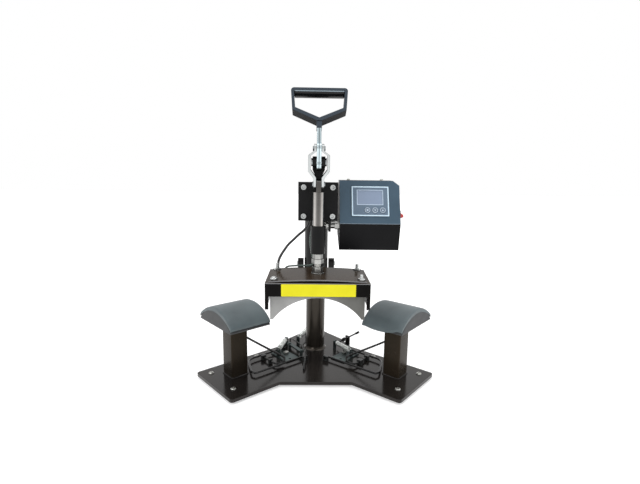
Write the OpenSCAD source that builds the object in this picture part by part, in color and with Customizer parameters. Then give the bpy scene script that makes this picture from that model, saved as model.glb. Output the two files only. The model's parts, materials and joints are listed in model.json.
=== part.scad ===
// Cap heat press with two stations, a swing head and a toggle clamp.
// Millimetres, +Z up, -Y towards the operator.

/* [Base plate] */
// height of the rubber feet
foot_high = 4; // [3:0.5:6]
// thickness of the base plate
plate_thick = 6; // [5:0.5:8]
// how far each arm points forward of straight sideways, degrees
arm_angle = 40; // [38:1:42]
// pillar axis to the end of an arm
arm_long = 253; // [248:1:262]
// arm width behind its centre line
arm_back = 49; // [48:1:54]
// arm width in front of its centre line
arm_front = 81; // [78:1:86]
// radius of the plate's corners
plate_corner = 6; // [4:1:12]

/* [Pillar and swing sleeve] */
// outside diameter of the pillar
pillar_dia = 40; // [38:1:42]
// outside diameter of the swing sleeve
sleeve_dia = 48.6; // [47:0.2:50]
// underside of the stop collar above the bench
collar_low = 178; // [172:1:184]
// top of the swing sleeve above the bench
sleeve_top = 360; // [356:1:361]

/* [Cap stations] */
// pillar axis to the centre of each station
station_reach = 197; // [194:1:200]
// side of the square posts
post_side = 34; // [30:1:36]
// underside of the platens above the bench
platen_low = 112.6; // [110:0.2:114]
// radius of the pads' curved face
pad_radius = 80; // [76:1:84]
// thickness of the silicone pads
pad_thick = 6; // [4:0.5:8]
// platen size across the curve
platen_chord = 113; // [106:1:118]
// platen size along the straight direction
platen_long = 81; // [76:1:84]

/* [Heater] */
// curve radius of the heated face
heater_radius = 88; // [86:1:92]
// width of the heater block
heater_wide = 150; // [146:1:154]
// depth of the heater block
heater_deep = 80; // [76:1:84]
// how far the cover reaches past the block all round
cover_reach = 7.5; // [6:0.5:10]
// top of the heater cover above the bench
cover_top = 217; // [215:0.5:219]
// rise of the bowed press plate at its middle
press_bow = 3; // [2:0.5:4]

/* [Clamp] */
// diameter of the plunger
plunger_dia = 18; // [16:0.5:19]
// outside diameter of the guide barrel
barrel_dia = 24; // [24:0.5:27]
// width of the clamp's mounting plate
flange_wide = 67; // [64:1:72]
// height of the toggle's main pivot above the bench
pivot_high = 403; // [401:0.5:405]
// distance from the main pivot to the links' upper pivot
crank_long = 21.7; // [21.2:0.1:22.2]
// length of each link between its pivots
link_long = 56.3; // [55.8:0.1:56.8]

/* [Handle] */
// how far the handle leans back at rest, degrees
handle_lean = 20; // [16:1:22]
// outside width of the handle frame
handle_wide = 92; // [86:1:100]
// depth of the handle's strap
strap_deep = 21; // [18:1:24]
// thickness of the handle's strap
strap_thick = 4.8; // [4:0.2:6]

/* [Control box] */
// left side of the control box
box_left = 37.5; // [36:0.5:40]
// width of the control box
box_wide = 104; // [100:1:110]
// thickness of the box walls
box_wall = 2; // [1.5:0.5:2.5]

/* [Hidden] */
$fn = 64;
// Shared gaps between pieces.
run_gap = 0.05;
seat_gap = 0.03;
clear_gap = 0.3;
// The part's middle lies between the tab's end and the cover's front.
tab_end = 96;
head_reach = 196;
cover_wide = heater_wide + 2 * cover_reach;
cover_deep = heater_deep + 2 * cover_reach;
home_shift = (head_reach + cover_deep / 2 - tab_end) / 2;

// Base plate.
plate_top = foot_high + plate_thick;
front_edge = 161;
front_root = front_edge - 61;
front_half = (front_edge - arm_front * cos(arm_angle)) / tan(arm_angle) - arm_front * sin(arm_angle);
tab_root = arm_point(58, arm_back);
tab_radius = 35.4;
foot_spots = [[arm_long - 20, arm_back - 21], [arm_long - 22, 31 - arm_front], [126, arm_back - 12]];
bracket_spot = [75, 5];
bracket_thick = 2.5;
bracket_bolt = 3;
bolt_slack = 0.1;
foot_radius = 9;
screw_radius = 2;

// Pillar, collar and sleeve.
pillar_radius = pillar_dia / 2;
pillar_wall = 4;
pillar_top = sleeve_top - 15;
sleeve_radius = sleeve_dia / 2;
sleeve_bore = pillar_radius + 1;
collar_high = 6;
collar_top = collar_low + collar_high;
washer_thick = 1;
flange_thick = 1;
sleeve_low = collar_top + washer_thick + flange_thick + run_gap;
ear_in = sleeve_radius + 1.7;
ear_out = ear_in + 12;
ear_half = 7;
ear_axis = collar_low + 22;
sector_out = sleeve_radius + 8.5;
sector_low = collar_top + 6;
sector_high = 14;
swing_range = 90 - arm_angle;
sector_half = 90 - swing_range - asin(ear_half / ear_in) - 1;

// Stations.
platen_half = platen_chord / 2;
post_top = platen_low - 4;
pad_axis = platen_low + 33.4 - pad_radius;
platen_radius = pad_radius - pad_thick;
platen_bolt = 3;
platen_bolt_y = 22;
wire_high = plate_top + 6;
bail_radius = 2;
hook_radius = 2;
guard_radius = 1.5;
bail_pivot = 62;
bail_sides = [30.5, -41];
hook_pivot = 124;
hook_drop = 5;
lever_pivot = [57, 28.5, plate_top + 22];
lever_pin = 2;

// Heater head.
heater_axis = cover_top - 113.7;
block_top = cover_top - 20;
tip_low = cover_top - 61;
probe = [30, 2.5];
cover_sheet = 2.5;
press_thick = 2;
cover_bolt = [heater_wide / 2 - 6, heater_deep / 2 - 6];
bolt_radius = 3;
stud_radius = 5;

// Clamp.
plunger_radius = plunger_dia / 2;
barrel_radius = barrel_dia / 2;
liner_wall = 1.2;
barrel_low = cover_top + 38.6;
barrel_top = 301;
arm_low = sleeve_top - 52;
arm_high = 48;
arm_half = 23;
plate_face = head_reach - 31;
flange_deep = 6;
flange_low = arm_low - 2.5;
flange_high = 65;
casting_screw = [24.3, flange_low + 8, flange_low + flange_high - 8.5];
web_front = head_reach - 11;
ear_root = head_reach - 24;
web_half = 5;
ear_slot = 4.2;
ear_wide = 10;
boss_radius = 9;
pin_radius = 4;
link_pin = 3;
lever_half = 3.6;
crank_lean = 15;
link_tilt = asin(crank_long * sin(crank_lean) / link_long);
knee_y = -head_reach - crank_long * sin(crank_lean);
knee_z = pivot_high + crank_long * cos(crank_lean);
toe_z = knee_z - link_long * cos(link_tilt);
link_half = 7;
shoulder = toe_z - link_half - 5.5;
tongue_half = 3.75;

// Handle, measured along the lever from the main pivot.
stem_end = 56;
frame_apex = 66;
frame_shoulder = 84.3;
frame_top = 122.7;
frame_half = handle_wide / 2;
frame_low_half = frame_half - 2.4;
frame_round = 5;
grip_round = 5;

// Control box side view, depth and height, anticlockwise.
box_deep = 70;
box_side = [[-plate_face, 301], [10 - plate_face, 254], [box_deep - plate_face, 276],
  [60 - plate_face, 373.4], [30 - plate_face, 373.4]];
panel_foot = box_side[0];
panel_long = norm(box_side[4] - box_side[0]);
panel_tilt = atan2(box_side[4][0] - box_side[0][0], box_side[4][1] - box_side[0][1]);
panel_thick = 2;
box_right = box_left + box_wide;
box_top = box_side[4][1];
box_screw_x = [box_left + 16.3, box_left + 75];
box_screw_y = 43 - plate_face;
corner_cut = [10.8, 8];
panel_mid = box_left + 52.5;
bezel_box = [panel_mid - 32, 13.5, 64, 53.5];
lcd_box = [panel_mid - 22, 34.6, 43, 25];
key_row = [panel_mid - 5.3, panel_mid + 7.9, panel_mid + 21];
key_high = 24;
key_radius = 4.9;
rocker_spot = [17 - plate_face, 315];
box_stud_y = [14.5 - plate_face, 53 - plate_face];
box_stud_z = 296;
hang_plate = [18.5, 4];
inlet_spot = [box_right - 42, 300];
inlet_size = [28, 20];

// Wound springs.
curl_radius = 4.2;
curl_wire = 0.6;
curl_pitch = 2.05;
curl_count = 20;
curl_rings = 8;

// Free cable and sensor wire, points in the order they run.
cable_path = [
  [-14, -110, 309], [-14, -110, 303], [-15, -110, 298], [-18, -111, 290], [-24, -114, 282],
  [-33, -119, 275], [-42, -125, 267], [-51, -131, 259], [-58, -136, 250], [-64, -140, 241],
  [-68, -142, 232], [-69, -143, 224], [-69, -143, 215], [-69, -144, 210.5], [-69, -146, 207.3],
  [-69, -149, 206], [-69, -153, 206]];
sensor_path = [
  [-6, -140, 309], [-6, -140, 303], [-7, -140, 296], [-11, -140, 284], [-13, -141, 270],
  [-12, -142, 255], [-9, -143, 241], [-6.5, -143.5, 231], [-8, -144, 226], [-14, -144.5, 223.6],
  [-30, -144.5, 223], [-42, -144.5, 222.5], [-51, -144.5, 221.5], [-55.5, -144.5, 218.5], [-57, -144.5, 213],
  [-57, -145.6, 209], [-57, -148.4, 207], [-57, -153, 207]];
cable_radius = 2.3;
sensor_radius = 1.5;
cable_end = cable_path[len(cable_path) - 1];
sensor_end = sensor_path[len(sensor_path) - 1];
grommets = [[[-14, 55 - plate_face], cable_radius + 0.3], [[-6, 25 - plate_face], sensor_radius + 0.3]];
grommet_neck = 1.5;

// Bent station wires in arm coordinates: along, across, height.
bail_path = [
  [62, 33.5, 16], [62, 27, 16], [62.6, 24.8, 16], [65, 24, 16], [100, 24, 16], [138, 24, 16],
  [148, 22.5, 16], [156, 17.5, 16], [161.5, 9, 16], [170, -9, 16], [176.5, -23, 16], [177.5, -28, 16],
  [175.5, -32.2, 16], [171, -34.5, 16], [120, -34.5, 16], [65, -34.5, 16], [62.6, -35.3, 16],
  [62, -37.5, 16], [62, -44, 16]];
hook_path = [
  [124, 19, 16], [124, 6, 16], [124, -19, 16], [123, -25, 16], [119.5, -28.8, 16], [113, -30, 16],
  [107, -29.5, 17], [103, -27.5, 19], [102, -25, 21.5], [104, -22.5, 24.5], [108, -20.5, 27.8],
  [135, -11.5, 47], [160, -3.5, 65.5], [172.5, 0.5, 75]];
guard_path = [
  [33, 46, 10], [33, 46, 18], [34, 43.5, 23.5], [37, 20, 24.5], [41, -5, 24.5],
  [51, -25, 24], [60, -40, 24], [74, -56, 21.5], [86, -68, 18], [91.4, -73.4, 15],
  [92, -74, 13], [92, -74, 10]];

// Points and rings of swept tubes.
function arm_point(along, across) = [
  along * cos(arm_angle) + across * sin(arm_angle),
  across * cos(arm_angle) - along * sin(arm_angle)];
function unit(v) = v / norm(v);
function lifted(path) = [for (p = path) [p[0], p[1], p[2] + plate_top - 10]];
function lowered(path, a) = [
  for (p = path) [
    hook_pivot + (p[0] - hook_pivot) * cos(a) + (p[2] - wire_high) * sin(a), p[1],
    wire_high + (p[2] - wire_high) * cos(a) - (p[0] - hook_pivot) * sin(a)]];
function heading(p, i) = unit(p[min(i + 1, len(p) - 1)] - p[max(i - 1, 0)]);
function square_to(n, t) = unit(n - (n * t) * t);
function side_way(p) = [
  for (i = 0, n = square_to([0.31, 0.47, 0.83], heading(p, 0)); i < len(p);
    i = i + 1, n = i < len(p) ? square_to(n, heading(p, i)) : n) n];
function ring(p, i, n, r, sides) = [
  for (k = [0 : sides - 1]) p[i] + r * (cos(360 * k / sides) * n
    + sin(360 * k / sides) * cross(heading(p, i), n))];

// One unbroken closed tube along a path.
module swept(path, r, sides) {
  ways = side_way(path);
  rings = [for (i = [0 : len(path) - 1]) each ring(path, i, ways[i], r, sides)];
  last = (len(path) - 1) * sides;
  walls = [
    for (i = [0 : len(path) - 2]) for (k = [0 : sides - 1])
      let (a = i * sides + k, b = i * sides + (k + 1) % sides)
      each [[a, a + sides, b + sides], [a, b + sides, b]]];
  start_cap = [for (k = [1 : sides - 2]) [0, k, k + 1]];
  end_cap = [for (k = [1 : sides - 2]) [last, last + k + 1, last + k]];
  polyhedron(points = rings, faces = concat(walls, start_cap, end_cap));
}

// Coil of a spring along +X from the origin, with straight tails on its axis.
coil_long = curl_count * curl_pitch;
function coil_path(tail) = concat(
  [[-tail - 4, 0, 0], [-tail - 2.4, 0, 0], [-3.2, 0, 0], [-2, 0.5, -0.6], [-1.1, 2, -1.4]],
  [for (i = [0 : curl_count * curl_rings])
    let (a = 360 * i / curl_rings) [
      coil_long * i / (curl_count * curl_rings), curl_radius * cos(a), curl_radius * sin(a)]],
  [[coil_long + 1.1, 2, 1.4], [coil_long + 2, 0.5, 0.6], [coil_long + 3.2, 0, 0],
    [coil_long + tail + 2.4, 0, 0], [coil_long + tail + 4, 0, 0]]);

// Least gap between a coil's neighbouring turns, measured on its points.
function coil_gap(p) = min([
  for (i = [8 : len(p) - 9 - curl_rings])
    for (j = [i + curl_rings - 2 : min(i + curl_rings + 2, len(p) - 9)])
      norm(p[i] - p[j]) - 2 * curl_wire]);
echo(least_coil_gap = coil_gap(coil_path(4)));

// Moves drawn pieces from the pillar's axis to the part's own middle.
module home() {
  translate([0, home_shift, 0]) children();
}

// Right arm: X runs outwards along it and Y across it. Left arm: its mirror image.
module on_arm(side) {
  if (side > 0) rotate([0, 0, -arm_angle]) children();
  else mirror([1, 0, 0]) rotate([0, 0, -arm_angle]) children();
}

module both_arms() {
  on_arm(1) children();
  on_arm(-1) children();
}

// A side view drawn as depth and height, made solid along X.
module along_x(start, thick) {
  translate([start, 0, 0]) rotate([90, 0, 90]) linear_extrude(thick) children();
}

// A front view drawn as X and height, made solid from front to back.
module along_y(front, deep) {
  translate([0, front + deep, 0]) rotate([90, 0, 0]) linear_extrude(deep) children();
}

module rod_x(start, long, r, y, z) {
  translate([start, y, z]) rotate([0, 90, 0]) cylinder(h = long, r = r);
}

module rod_y(start, long, r, x, z) {
  translate([x, start + long, z]) rotate([90, 0, 0]) cylinder(h = long, r = r);
}

module hex(across, high) {
  cylinder(h = high, r = across / 2 / cos(30), $fn = 6);
}

module rounded(wide, deep, r) {
  square([wide, deep - 2 * r], center = true);
  square([wide - 2 * r, deep], center = true);
  for (x = [-1, 1], y = [-1, 1])
    translate([x * (wide / 2 - r), y * (deep / 2 - r)]) circle(r);
}

// Base plate with its two arms and the tab behind the pillar.
module arm_outline() {
  r = plate_corner;
  translate([0, -arm_front]) square([arm_long - r, arm_front + arm_back]);
  translate([0, r - arm_front]) square([arm_long, arm_front + arm_back - 2 * r]);
  translate([arm_long - r, arm_back - r]) circle(r);
  translate([arm_long - r, r - arm_front]) circle(r);
}

module base_outline() {
  rotate(-arm_angle) arm_outline();
  mirror([1, 0]) rotate(-arm_angle) arm_outline();
  polygon([[-front_half, -front_edge], [front_half, -front_edge],
    [front_half, -front_root], [-front_half, -front_root]]);
  polygon([[-tab_root[0], tab_root[1]], [tab_root[0], tab_root[1]], [60, 43], [24, 86],
    [-24, 86], [-60, 43]]);
  translate([0, tab_end - tab_radius]) circle(tab_radius);
}

module base_plate() {
  color([0.06, 0.06, 0.06]) home() difference() {
    translate([0, 0, foot_high]) linear_extrude(plate_thick) base_outline();
    both_arms() for (p = foot_spots)
      translate([p[0], p[1], foot_high - 1]) cylinder(h = plate_thick + 2, r = screw_radius + 0.6);
    both_arms() translate([bracket_spot[0], bracket_spot[1], foot_high - 1])
      cylinder(h = plate_thick + 2, r = bracket_bolt + bolt_slack);
  }
}

module rubber_feet() {
  color([0.1, 0.1, 0.1]) home() both_arms() for (p = foot_spots)
    translate([p[0], p[1], 0]) difference() {
      cylinder(h = foot_high, r1 = foot_radius - 1, r2 = foot_radius);
      translate([0, 0, foot_high / 2 - 0.5]) cylinder(h = foot_high, r = screw_radius + 0.1);
    }
}

module pan_screw(r, head, grip) {
  difference() {
    union() {
      translate([0, 0, -grip]) cylinder(h = grip, r = r);
      cylinder(h = 1, r = head);
      translate([0, 0, 1]) cylinder(h = 1.6, r1 = head, r2 = head * 0.7);
    }
    translate([0, 0, 1.2]) cylinder(h = 2, r = head * 0.35, $fn = 6);
  }
}

module plate_screws() {
  color([0.6, 0.6, 0.6]) home() both_arms() {
    for (p = foot_spots) translate([p[0], p[1], plate_top])
      pan_screw(screw_radius, 5, plate_thick + foot_high / 2);
    translate([bracket_spot[0], bracket_spot[1], plate_top + bracket_thick]) {
      hex(10, 4.4);
      translate([0, 0, -plate_thick]) cylinder(h = plate_thick, r = bracket_bolt);
    }
  }
}

// Pillar with its weld bead, one turned profile.
module pillar() {
  r = pillar_radius;
  color([0.06, 0.06, 0.06]) home() rotate_extrude()
    polygon([[r - pillar_wall, plate_top], [r + 5, plate_top], [r + 2.2, plate_top + 1.6],
      [r, plate_top + 5], [r, pillar_top - 1], [r - 1, pillar_top], [r - pillar_wall, pillar_top]]);
}

module stop_collar() {
  color([0.08, 0.08, 0.08]) home() difference() {
    union() {
      translate([0, 0, collar_low]) cylinder(h = collar_high, r = sleeve_radius);
      for (s = [-1, 1]) {
        translate([s > 0 ? 0 : -ear_out, -ear_half, collar_low]) cube([ear_out, 2 * ear_half, collar_high]);
        translate([s > 0 ? ear_in : -ear_out, -ear_half, collar_low])
          cube([ear_out - ear_in, 2 * ear_half, ear_axis - collar_low]);
        rod_x(s > 0 ? ear_in : -ear_out, ear_out - ear_in, ear_half, 0, ear_axis);
      }
    }
    translate([0, 0, collar_low - 1]) cylinder(h = collar_high + 2, r = pillar_radius + seat_gap);
    rod_x(-ear_out - 1, 2 * ear_out + 2, 3 + run_gap, 0, ear_axis - 4);
  }
}

module stop_bolts() {
  color([0.75, 0.75, 0.75]) home() for (s = [0, 180]) rotate([0, 0, s]) {
    rod_x(ear_in + 0.6, ear_out - ear_in, 3, 0, ear_axis - 4);
    translate([ear_out, 0, ear_axis - 4]) rotate([0, 90, 0]) hex(9, 2.6);
  }
}

// Station posts with welded top plates.
module platen_posts() {
  color([0.08, 0.07, 0.06]) home() both_arms() translate([station_reach, 0, 0]) difference() {
    union() {
      translate([0, 0, plate_top]) linear_extrude(post_top - plate_top) rounded(post_side, post_side, 3);
      translate([0, 0, post_top]) linear_extrude(platen_low - post_top) rounded(56, 56, 4);
    }
    translate([0, 0, plate_top - 1]) linear_extrude(post_top - plate_top + 1)
      rounded(post_side - 5, post_side - 5, 1);
    for (y = [-platen_bolt_y, platen_bolt_y])
      translate([0, y, post_top - 1]) cylinder(h = 8, r = platen_bolt + bolt_slack);
  }
}

// Curved platens; the arc runs across the arm.
module pad_arc(r, low, half) {
  intersection() {
    translate([0, pad_axis]) circle(r, $fn = 128);
    translate([-half, low]) square([2 * half, 2 * r]);
  }
}

module on_station() {
  translate([station_reach - platen_long / 2, 0, 0]) rotate([90, 0, 90]) linear_extrude(platen_long)
    children();
}

module platen_bodies() {
  color([0.2, 0.19, 0.18]) home() both_arms() difference() {
    on_station() pad_arc(platen_radius, platen_low, platen_half);
    for (y = [-platen_bolt_y, platen_bolt_y])
      translate([station_reach, y, platen_low - 1]) cylinder(h = 11, r = platen_bolt + run_gap);
  }
}

module platen_pads() {
  color([0.37, 0.4, 0.42]) home() both_arms() on_station() difference() {
    pad_arc(pad_radius, platen_low, platen_half);
    translate([0, pad_axis]) circle(platen_radius + seat_gap, $fn = 128);
  }
}

module platen_screws() {
  color([0.6, 0.6, 0.6]) home() both_arms() for (y = [-platen_bolt_y, platen_bolt_y])
    translate([station_reach, y, post_top]) {
      cylinder(h = platen_low - post_top + 9, r = platen_bolt);
      translate([0, 0, -3]) hex(10, 3);
    }
}

// Zinc fittings on each station's arm: bracket, spring lugs and the left station's strap.
strap_ends = [[48, 31], [54, -23]];

module spring_strap() {
  span = norm(strap_ends[1] - strap_ends[0]);
  run = strap_ends[1] - strap_ends[0];
  on_arm(-1) translate([strap_ends[0][0], strap_ends[0][1], 0]) rotate([0, 0, atan2(run[1], run[0])]) {
    translate([0, -4, plate_top + 8]) cube([span, 8, 3]);
    for (x = [4, span - 4]) translate([x, 0, plate_top]) cylinder(h = 12.6, r = 3);
  }
}

module spring_lugs() {
  for (s = spring_list) {
    span = norm(s[2] - s[1]);
    at_spring(s) for (x = [0, span]) difference() {
      translate([x - lug_thick / 2, -lug_half, plate_top - s[3]])
        cube([lug_thick, 2 * lug_half, s[3] - plate_top + 3]);
      rod_x(x - lug_thick, 2 * lug_thick, curl_wire + 0.5, 0, 0);
    }
  }
}

module station_brackets() {
  color([0.7, 0.68, 0.64]) home() {
    both_arms() difference() {
      translate([65, -27, plate_top]) cube([32, 54, bracket_thick]);
      translate([bracket_spot[0], bracket_spot[1], plate_top - 1])
        cylinder(h = bracket_thick + 2, r = bracket_bolt + bolt_slack);
      for (y = [-20, 14]) translate([84, y, plate_top - 1]) cylinder(h = bracket_thick + 2, r = 2.6);
    }
    spring_lugs();
    spring_strap();
  }
}

module saddle(l, q, wide, deep, bore) {
  difference() {
    translate([l - wide / 2, q - deep / 2, plate_top]) cube([wide, deep, 10]);
    rod_y(q - deep, 2 * deep, bore, l, wire_high);
  }
}

module wire_clips() {
  color([0.12, 0.12, 0.12]) home() {
    both_arms() {
      for (q = bail_sides) saddle(bail_pivot, q, 11, 5, bail_radius + run_gap);
      saddle(hook_pivot, 15, 10, 5, hook_radius + run_gap);
    }
    on_arm(1) saddle(hook_pivot, -9, 10, 10, hook_radius + run_gap);
    on_arm(-1) saddle(hook_pivot, -9, 8, 4, hook_radius + run_gap);
  }
}

// Upright of the right station's lever, with its pivot pin.
module lever_upright() {
  l = lever_pivot[0];
  q = lever_pivot[1];
  color([0.12, 0.12, 0.12]) home() on_arm(1) {
    translate([l - 5, q + 12, plate_top]) cube([10, 3, lever_pivot[2] - plate_top + 4]);
    rod_y(q - 4, 17, lever_pin, l, lever_pivot[2]);
    rod_y(q - 5, 1, lever_pin + 1.2, l, lever_pivot[2]);
  }
}

module guard_wire() {
  color([0.08, 0.08, 0.08]) home() on_arm(-1) swept(lifted(guard_path), guard_radius, 8);
}

// Each spring: station side, its two anchor points, its height, and the lugs that hold its tails.
spring_list = [
  [1, [38.4, 20.5], [93, 5.1], plate_top + 14], [-1, [47.6, 40.2], [95.1, 4.5], plate_top + 17],
  [-1, [-24, 56.7], [25, 27.8], plate_top + 17]];
lug_thick = 2;
lug_half = 3.5;

module at_spring(s) {
  from = s[1];
  to = s[2];
  on_arm(s[0]) translate([from[0], from[1], s[3]])
    rotate([0, 0, atan2(to[1] - from[1], to[0] - from[0])]) children();
}

module station_springs() {
  color([0.7, 0.7, 0.7]) home() for (s = spring_list) {
    span = norm(s[2] - s[1]);
    tail = (span - coil_long) / 2 - 1.6;
    at_spring(s) translate([(span - coil_long) / 2, 0, 0]) swept(coil_path(tail), curl_wire, 6);
  }
}

// Moving wires of the stations.
module left_bail() {
  color([0.1, 0.1, 0.1]) home() on_arm(-1) swept(lifted(bail_path), bail_radius, 10);
}

module right_bail() {
  color([0.1, 0.1, 0.1]) home() on_arm(1) swept(lifted(bail_path), bail_radius, 10);
}

module left_hook() {
  color([0.1, 0.1, 0.1]) home() on_arm(-1) swept(lifted(hook_path), hook_radius, 10);
}

module right_hook() {
  color([0.1, 0.1, 0.1]) home() on_arm(1) swept(lowered(lifted(hook_path), hook_drop), hook_radius, 10);
}

module lever_wire() {
  color([0.1, 0.1, 0.1]) home() on_arm(1) translate(lever_pivot) difference() {
    union() {
      rotate([90, 0, 0]) translate([0, 0, -2.5]) cylinder(h = 5, r = lever_pin + 2);
      rotate([0, 55, 0]) cylinder(h = 43, r = 1.5);
      rotate([0, -125, 0]) cylinder(h = 22, r = 1.5);
      rotate([0, 55, 0]) translate([0, 0, 37]) cylinder(h = 8, r = 2.4);
    }
    rod_y(-4, 8, lever_pin + run_gap, 0, 0);
  }
}

// Swing sleeve with its stop sector.
module swing_sleeve() {
  color([0.07, 0.07, 0.07]) home() {
    difference() {
      union() {
        translate([0, 0, sleeve_low]) cylinder(h = sleeve_top - sleeve_low, r = sleeve_radius);
        intersection() {
          translate([0, 0, sector_low]) cylinder(h = sector_high, r = sector_out);
          translate([0, 0, sector_low]) linear_extrude(sector_high)
            polygon([[0, 0], [60 * sin(sector_half), 60 * cos(sector_half)],
              [-60 * sin(sector_half), 60 * cos(sector_half)]]);
        }
      }
      translate([0, 0, sleeve_low - 1]) cylinder(h = sleeve_top - sleeve_low + 2, r = sleeve_bore);
    }
  }
}

module sleeve_bearings() {
  in = pillar_radius + run_gap;
  out = sleeve_bore - 0.02;
  color([0.7, 0.55, 0.3]) home() {
    rotate_extrude() polygon([[in, sleeve_low - flange_thick], [sleeve_radius - 1, sleeve_low - flange_thick],
      [sleeve_radius - 1, sleeve_low], [out, sleeve_low], [out, sleeve_low + 30], [in, sleeve_low + 30]]);
    rotate_extrude() polygon([[in, pillar_top - 33], [out, pillar_top - 33], [out, pillar_top - 3],
      [in, pillar_top - 3]]);
    rotate_extrude() polygon([[in, collar_top + run_gap], [sleeve_radius - 1, collar_top + run_gap],
      [sleeve_radius - 1, collar_top + washer_thick], [in, collar_top + washer_thick]]);
  }
}

module pillar_cap() {
  color([0.05, 0.05, 0.05]) home() rotate_extrude()
    polygon([[0, sleeve_top - 10], [sleeve_bore - 0.1, sleeve_top - 10], [sleeve_bore - 0.1, sleeve_top],
      [sleeve_radius - 0.5, sleeve_top], [sleeve_radius - 0.5, sleeve_top + 1],
      [sleeve_radius - 2, sleeve_top + 2], [0, sleeve_top + 2]]);
}

// Box arm welded to the sleeve, with the clamp's end plate and the control box's hanging plate.
module head_arm() {
  end = flange_deep - plate_face;
  wall = 3;
  color([0.07, 0.07, 0.07]) home() difference() {
    union() {
      difference() {
        translate([-arm_half, end, arm_low]) cube([2 * arm_half, -end - sleeve_radius + 6, arm_high]);
        translate([wall - arm_half, end + flange_deep + 1, arm_low + wall])
          cube([2 * (arm_half - wall), -end, arm_high - 2 * wall]);
      }
      translate([-flange_wide / 2, end, flange_low]) cube([flange_wide, flange_deep, flange_high]);
      translate([hang_plate[0], end, box_stud_z - 10]) cube([hang_plate[1], 56, arm_low - box_stud_z + 11]);
    }
    translate([0, 0, arm_low - 1]) cylinder(h = arm_high + 2, r = sleeve_radius + seat_gap);
    for (x = [-1, 1], z = [casting_screw[1], casting_screw[2]])
      rod_y(-plate_face, screw_reach(z) + 0.5, bolt_radius + bolt_slack, x * casting_screw[0], z);
    for (y = box_stud_y) rod_x(10, 20, bolt_radius + bolt_slack, y, box_stud_z);
    for (g = grommets)
      translate([g[0][0], g[0][1], arm_low - 1]) cylinder(h = 6, r = g[1] + grommet_neck + bolt_slack);
  }
}

// Clamp casting: mounting plate, web, guide barrel and pivot ears.
module clamp_casting() {
  top = pivot_high + boss_radius;
  low = pivot_high - boss_radius;
  bore = plunger_radius + liner_wall;
  root = 1 - plate_face;
  color([0.06, 0.06, 0.06]) home() difference() {
    union() {
      translate([-flange_wide / 2, -plate_face, flange_low]) cube([flange_wide, flange_deep, flange_high]);
      along_x(-web_half, 2 * web_half) polygon([[-web_front - 1, barrel_low], [18 - head_reach, barrel_low],
        [root, flange_low - 4], [root, low + 1], [-ear_root, low + 1], [-web_front, low + 1],
        [-web_front, barrel_top], [-web_front - 1, barrel_top]]);
      translate([0, -head_reach, barrel_low]) cylinder(h = barrel_top - barrel_low, r = barrel_radius);
      along_x(-ear_wide, 2 * ear_wide) {
        translate([-head_reach, pivot_high]) circle(boss_radius);
        translate([-head_reach, low]) square([head_reach - ear_root, 2 * boss_radius]);
      }
      along_y(-web_front, web_front - ear_root) polygon([[-web_half, low - 15], [web_half, low - 15],
        [ear_wide, low - 3], [ear_wide, low + 1], [-ear_wide, low + 1], [-ear_wide, low - 3]]);
      along_x(-web_half, 2 * web_half) polygon([[-ear_root - 2, low], [root, low - 6],
        [root, low + 2], [-ear_root, top], [-ear_root - 2, top]]);
    }
    rod_x(-ear_slot, 2 * ear_slot, 17.5, -head_reach, pivot_high);
    translate([-ear_slot, -head_reach - 14, low - 20]) cube([2 * ear_slot, 14 + head_reach - web_front, 50]);
    translate([0, -head_reach, barrel_low - 1]) cylinder(h = barrel_top - barrel_low + 2, r = bore);
    rod_x(-ear_wide - 1, 2 * ear_wide + 2, pin_radius + 0.02, -head_reach, pivot_high);
    for (x = [-1, 1], z = [casting_screw[1], casting_screw[2]])
      rod_y(-plate_face - 1, 20, bolt_radius + bolt_slack, x * casting_screw[0], z);
  }
}

// The upper screws run through to nuts; the lower ones end in the arm's plate.
function screw_reach(z) = z > arm_low + arm_high ? 2 * flange_deep + 7 : 2 * flange_deep;

module casting_screws() {
  color([0.8, 0.8, 0.78]) home() for (x = [-1, 1], z = [casting_screw[1], casting_screw[2]])
    translate([x * casting_screw[0], -plate_face, z]) {
      rotate([90, 0, 0]) difference() {
        cylinder(h = 4.6, r = bolt_radius + 1.6);
        translate([0, 0, 2]) cylinder(h = 4, r = 2.4, $fn = 6);
      }
      rotate([-90, 0, 0]) cylinder(h = screw_reach(z), r = bolt_radius);
      if (screw_reach(z) > 2 * flange_deep)
        translate([0, 2 * flange_deep, 0]) rotate([-90, 0, 0]) difference() {
          hex(10, 5);
          translate([0, 0, -1]) cylinder(h = 7, r = bolt_radius + 0.02);
        }
    }
}

module guide_liner() {
  long = barrel_top - barrel_low - 2;
  color([0.65, 0.5, 0.25]) home() translate([0, -head_reach, barrel_low + 1]) difference() {
    cylinder(h = long, r = plunger_radius + liner_wall - 0.02);
    translate([0, 0, -1]) cylinder(h = long + 2, r = plunger_radius + run_gap);
  }
}

module main_pin() {
  color([0.8, 0.8, 0.8]) home() {
    rod_x(-ear_wide - 0.5, 2 * ear_wide + 1, pin_radius, -head_reach, pivot_high);
    for (x = [-ear_wide - 2.3, ear_wide]) rod_x(x, 2.3, 6.5, -head_reach, pivot_high);
  }
}

// Toggle and handle.
module lever_frame() {
  translate([0, -head_reach, pivot_high]) rotate([-handle_lean, 0, 0]) children();
}

module lever_outline() {
  translate([-head_reach, pivot_high]) rotate(-handle_lean) {
    translate([0, -4]) circle(9);
    translate([-9, -4]) square([18, stem_end + 4]);
  }
  translate([knee_y, knee_z]) circle(9);
  translate([-head_reach, pivot_high]) rotate(crank_lean) translate([-9, 0]) square([18, crank_long]);
}

module lever_bar() {
  color([0.8, 0.8, 0.8]) home() difference() {
    along_x(-lever_half, 2 * lever_half) lever_outline();
    rod_x(-6, 12, pin_radius + run_gap, -head_reach, pivot_high);
    rod_x(-6, 12, link_pin + run_gap, knee_y, knee_z);
  }
}

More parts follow.
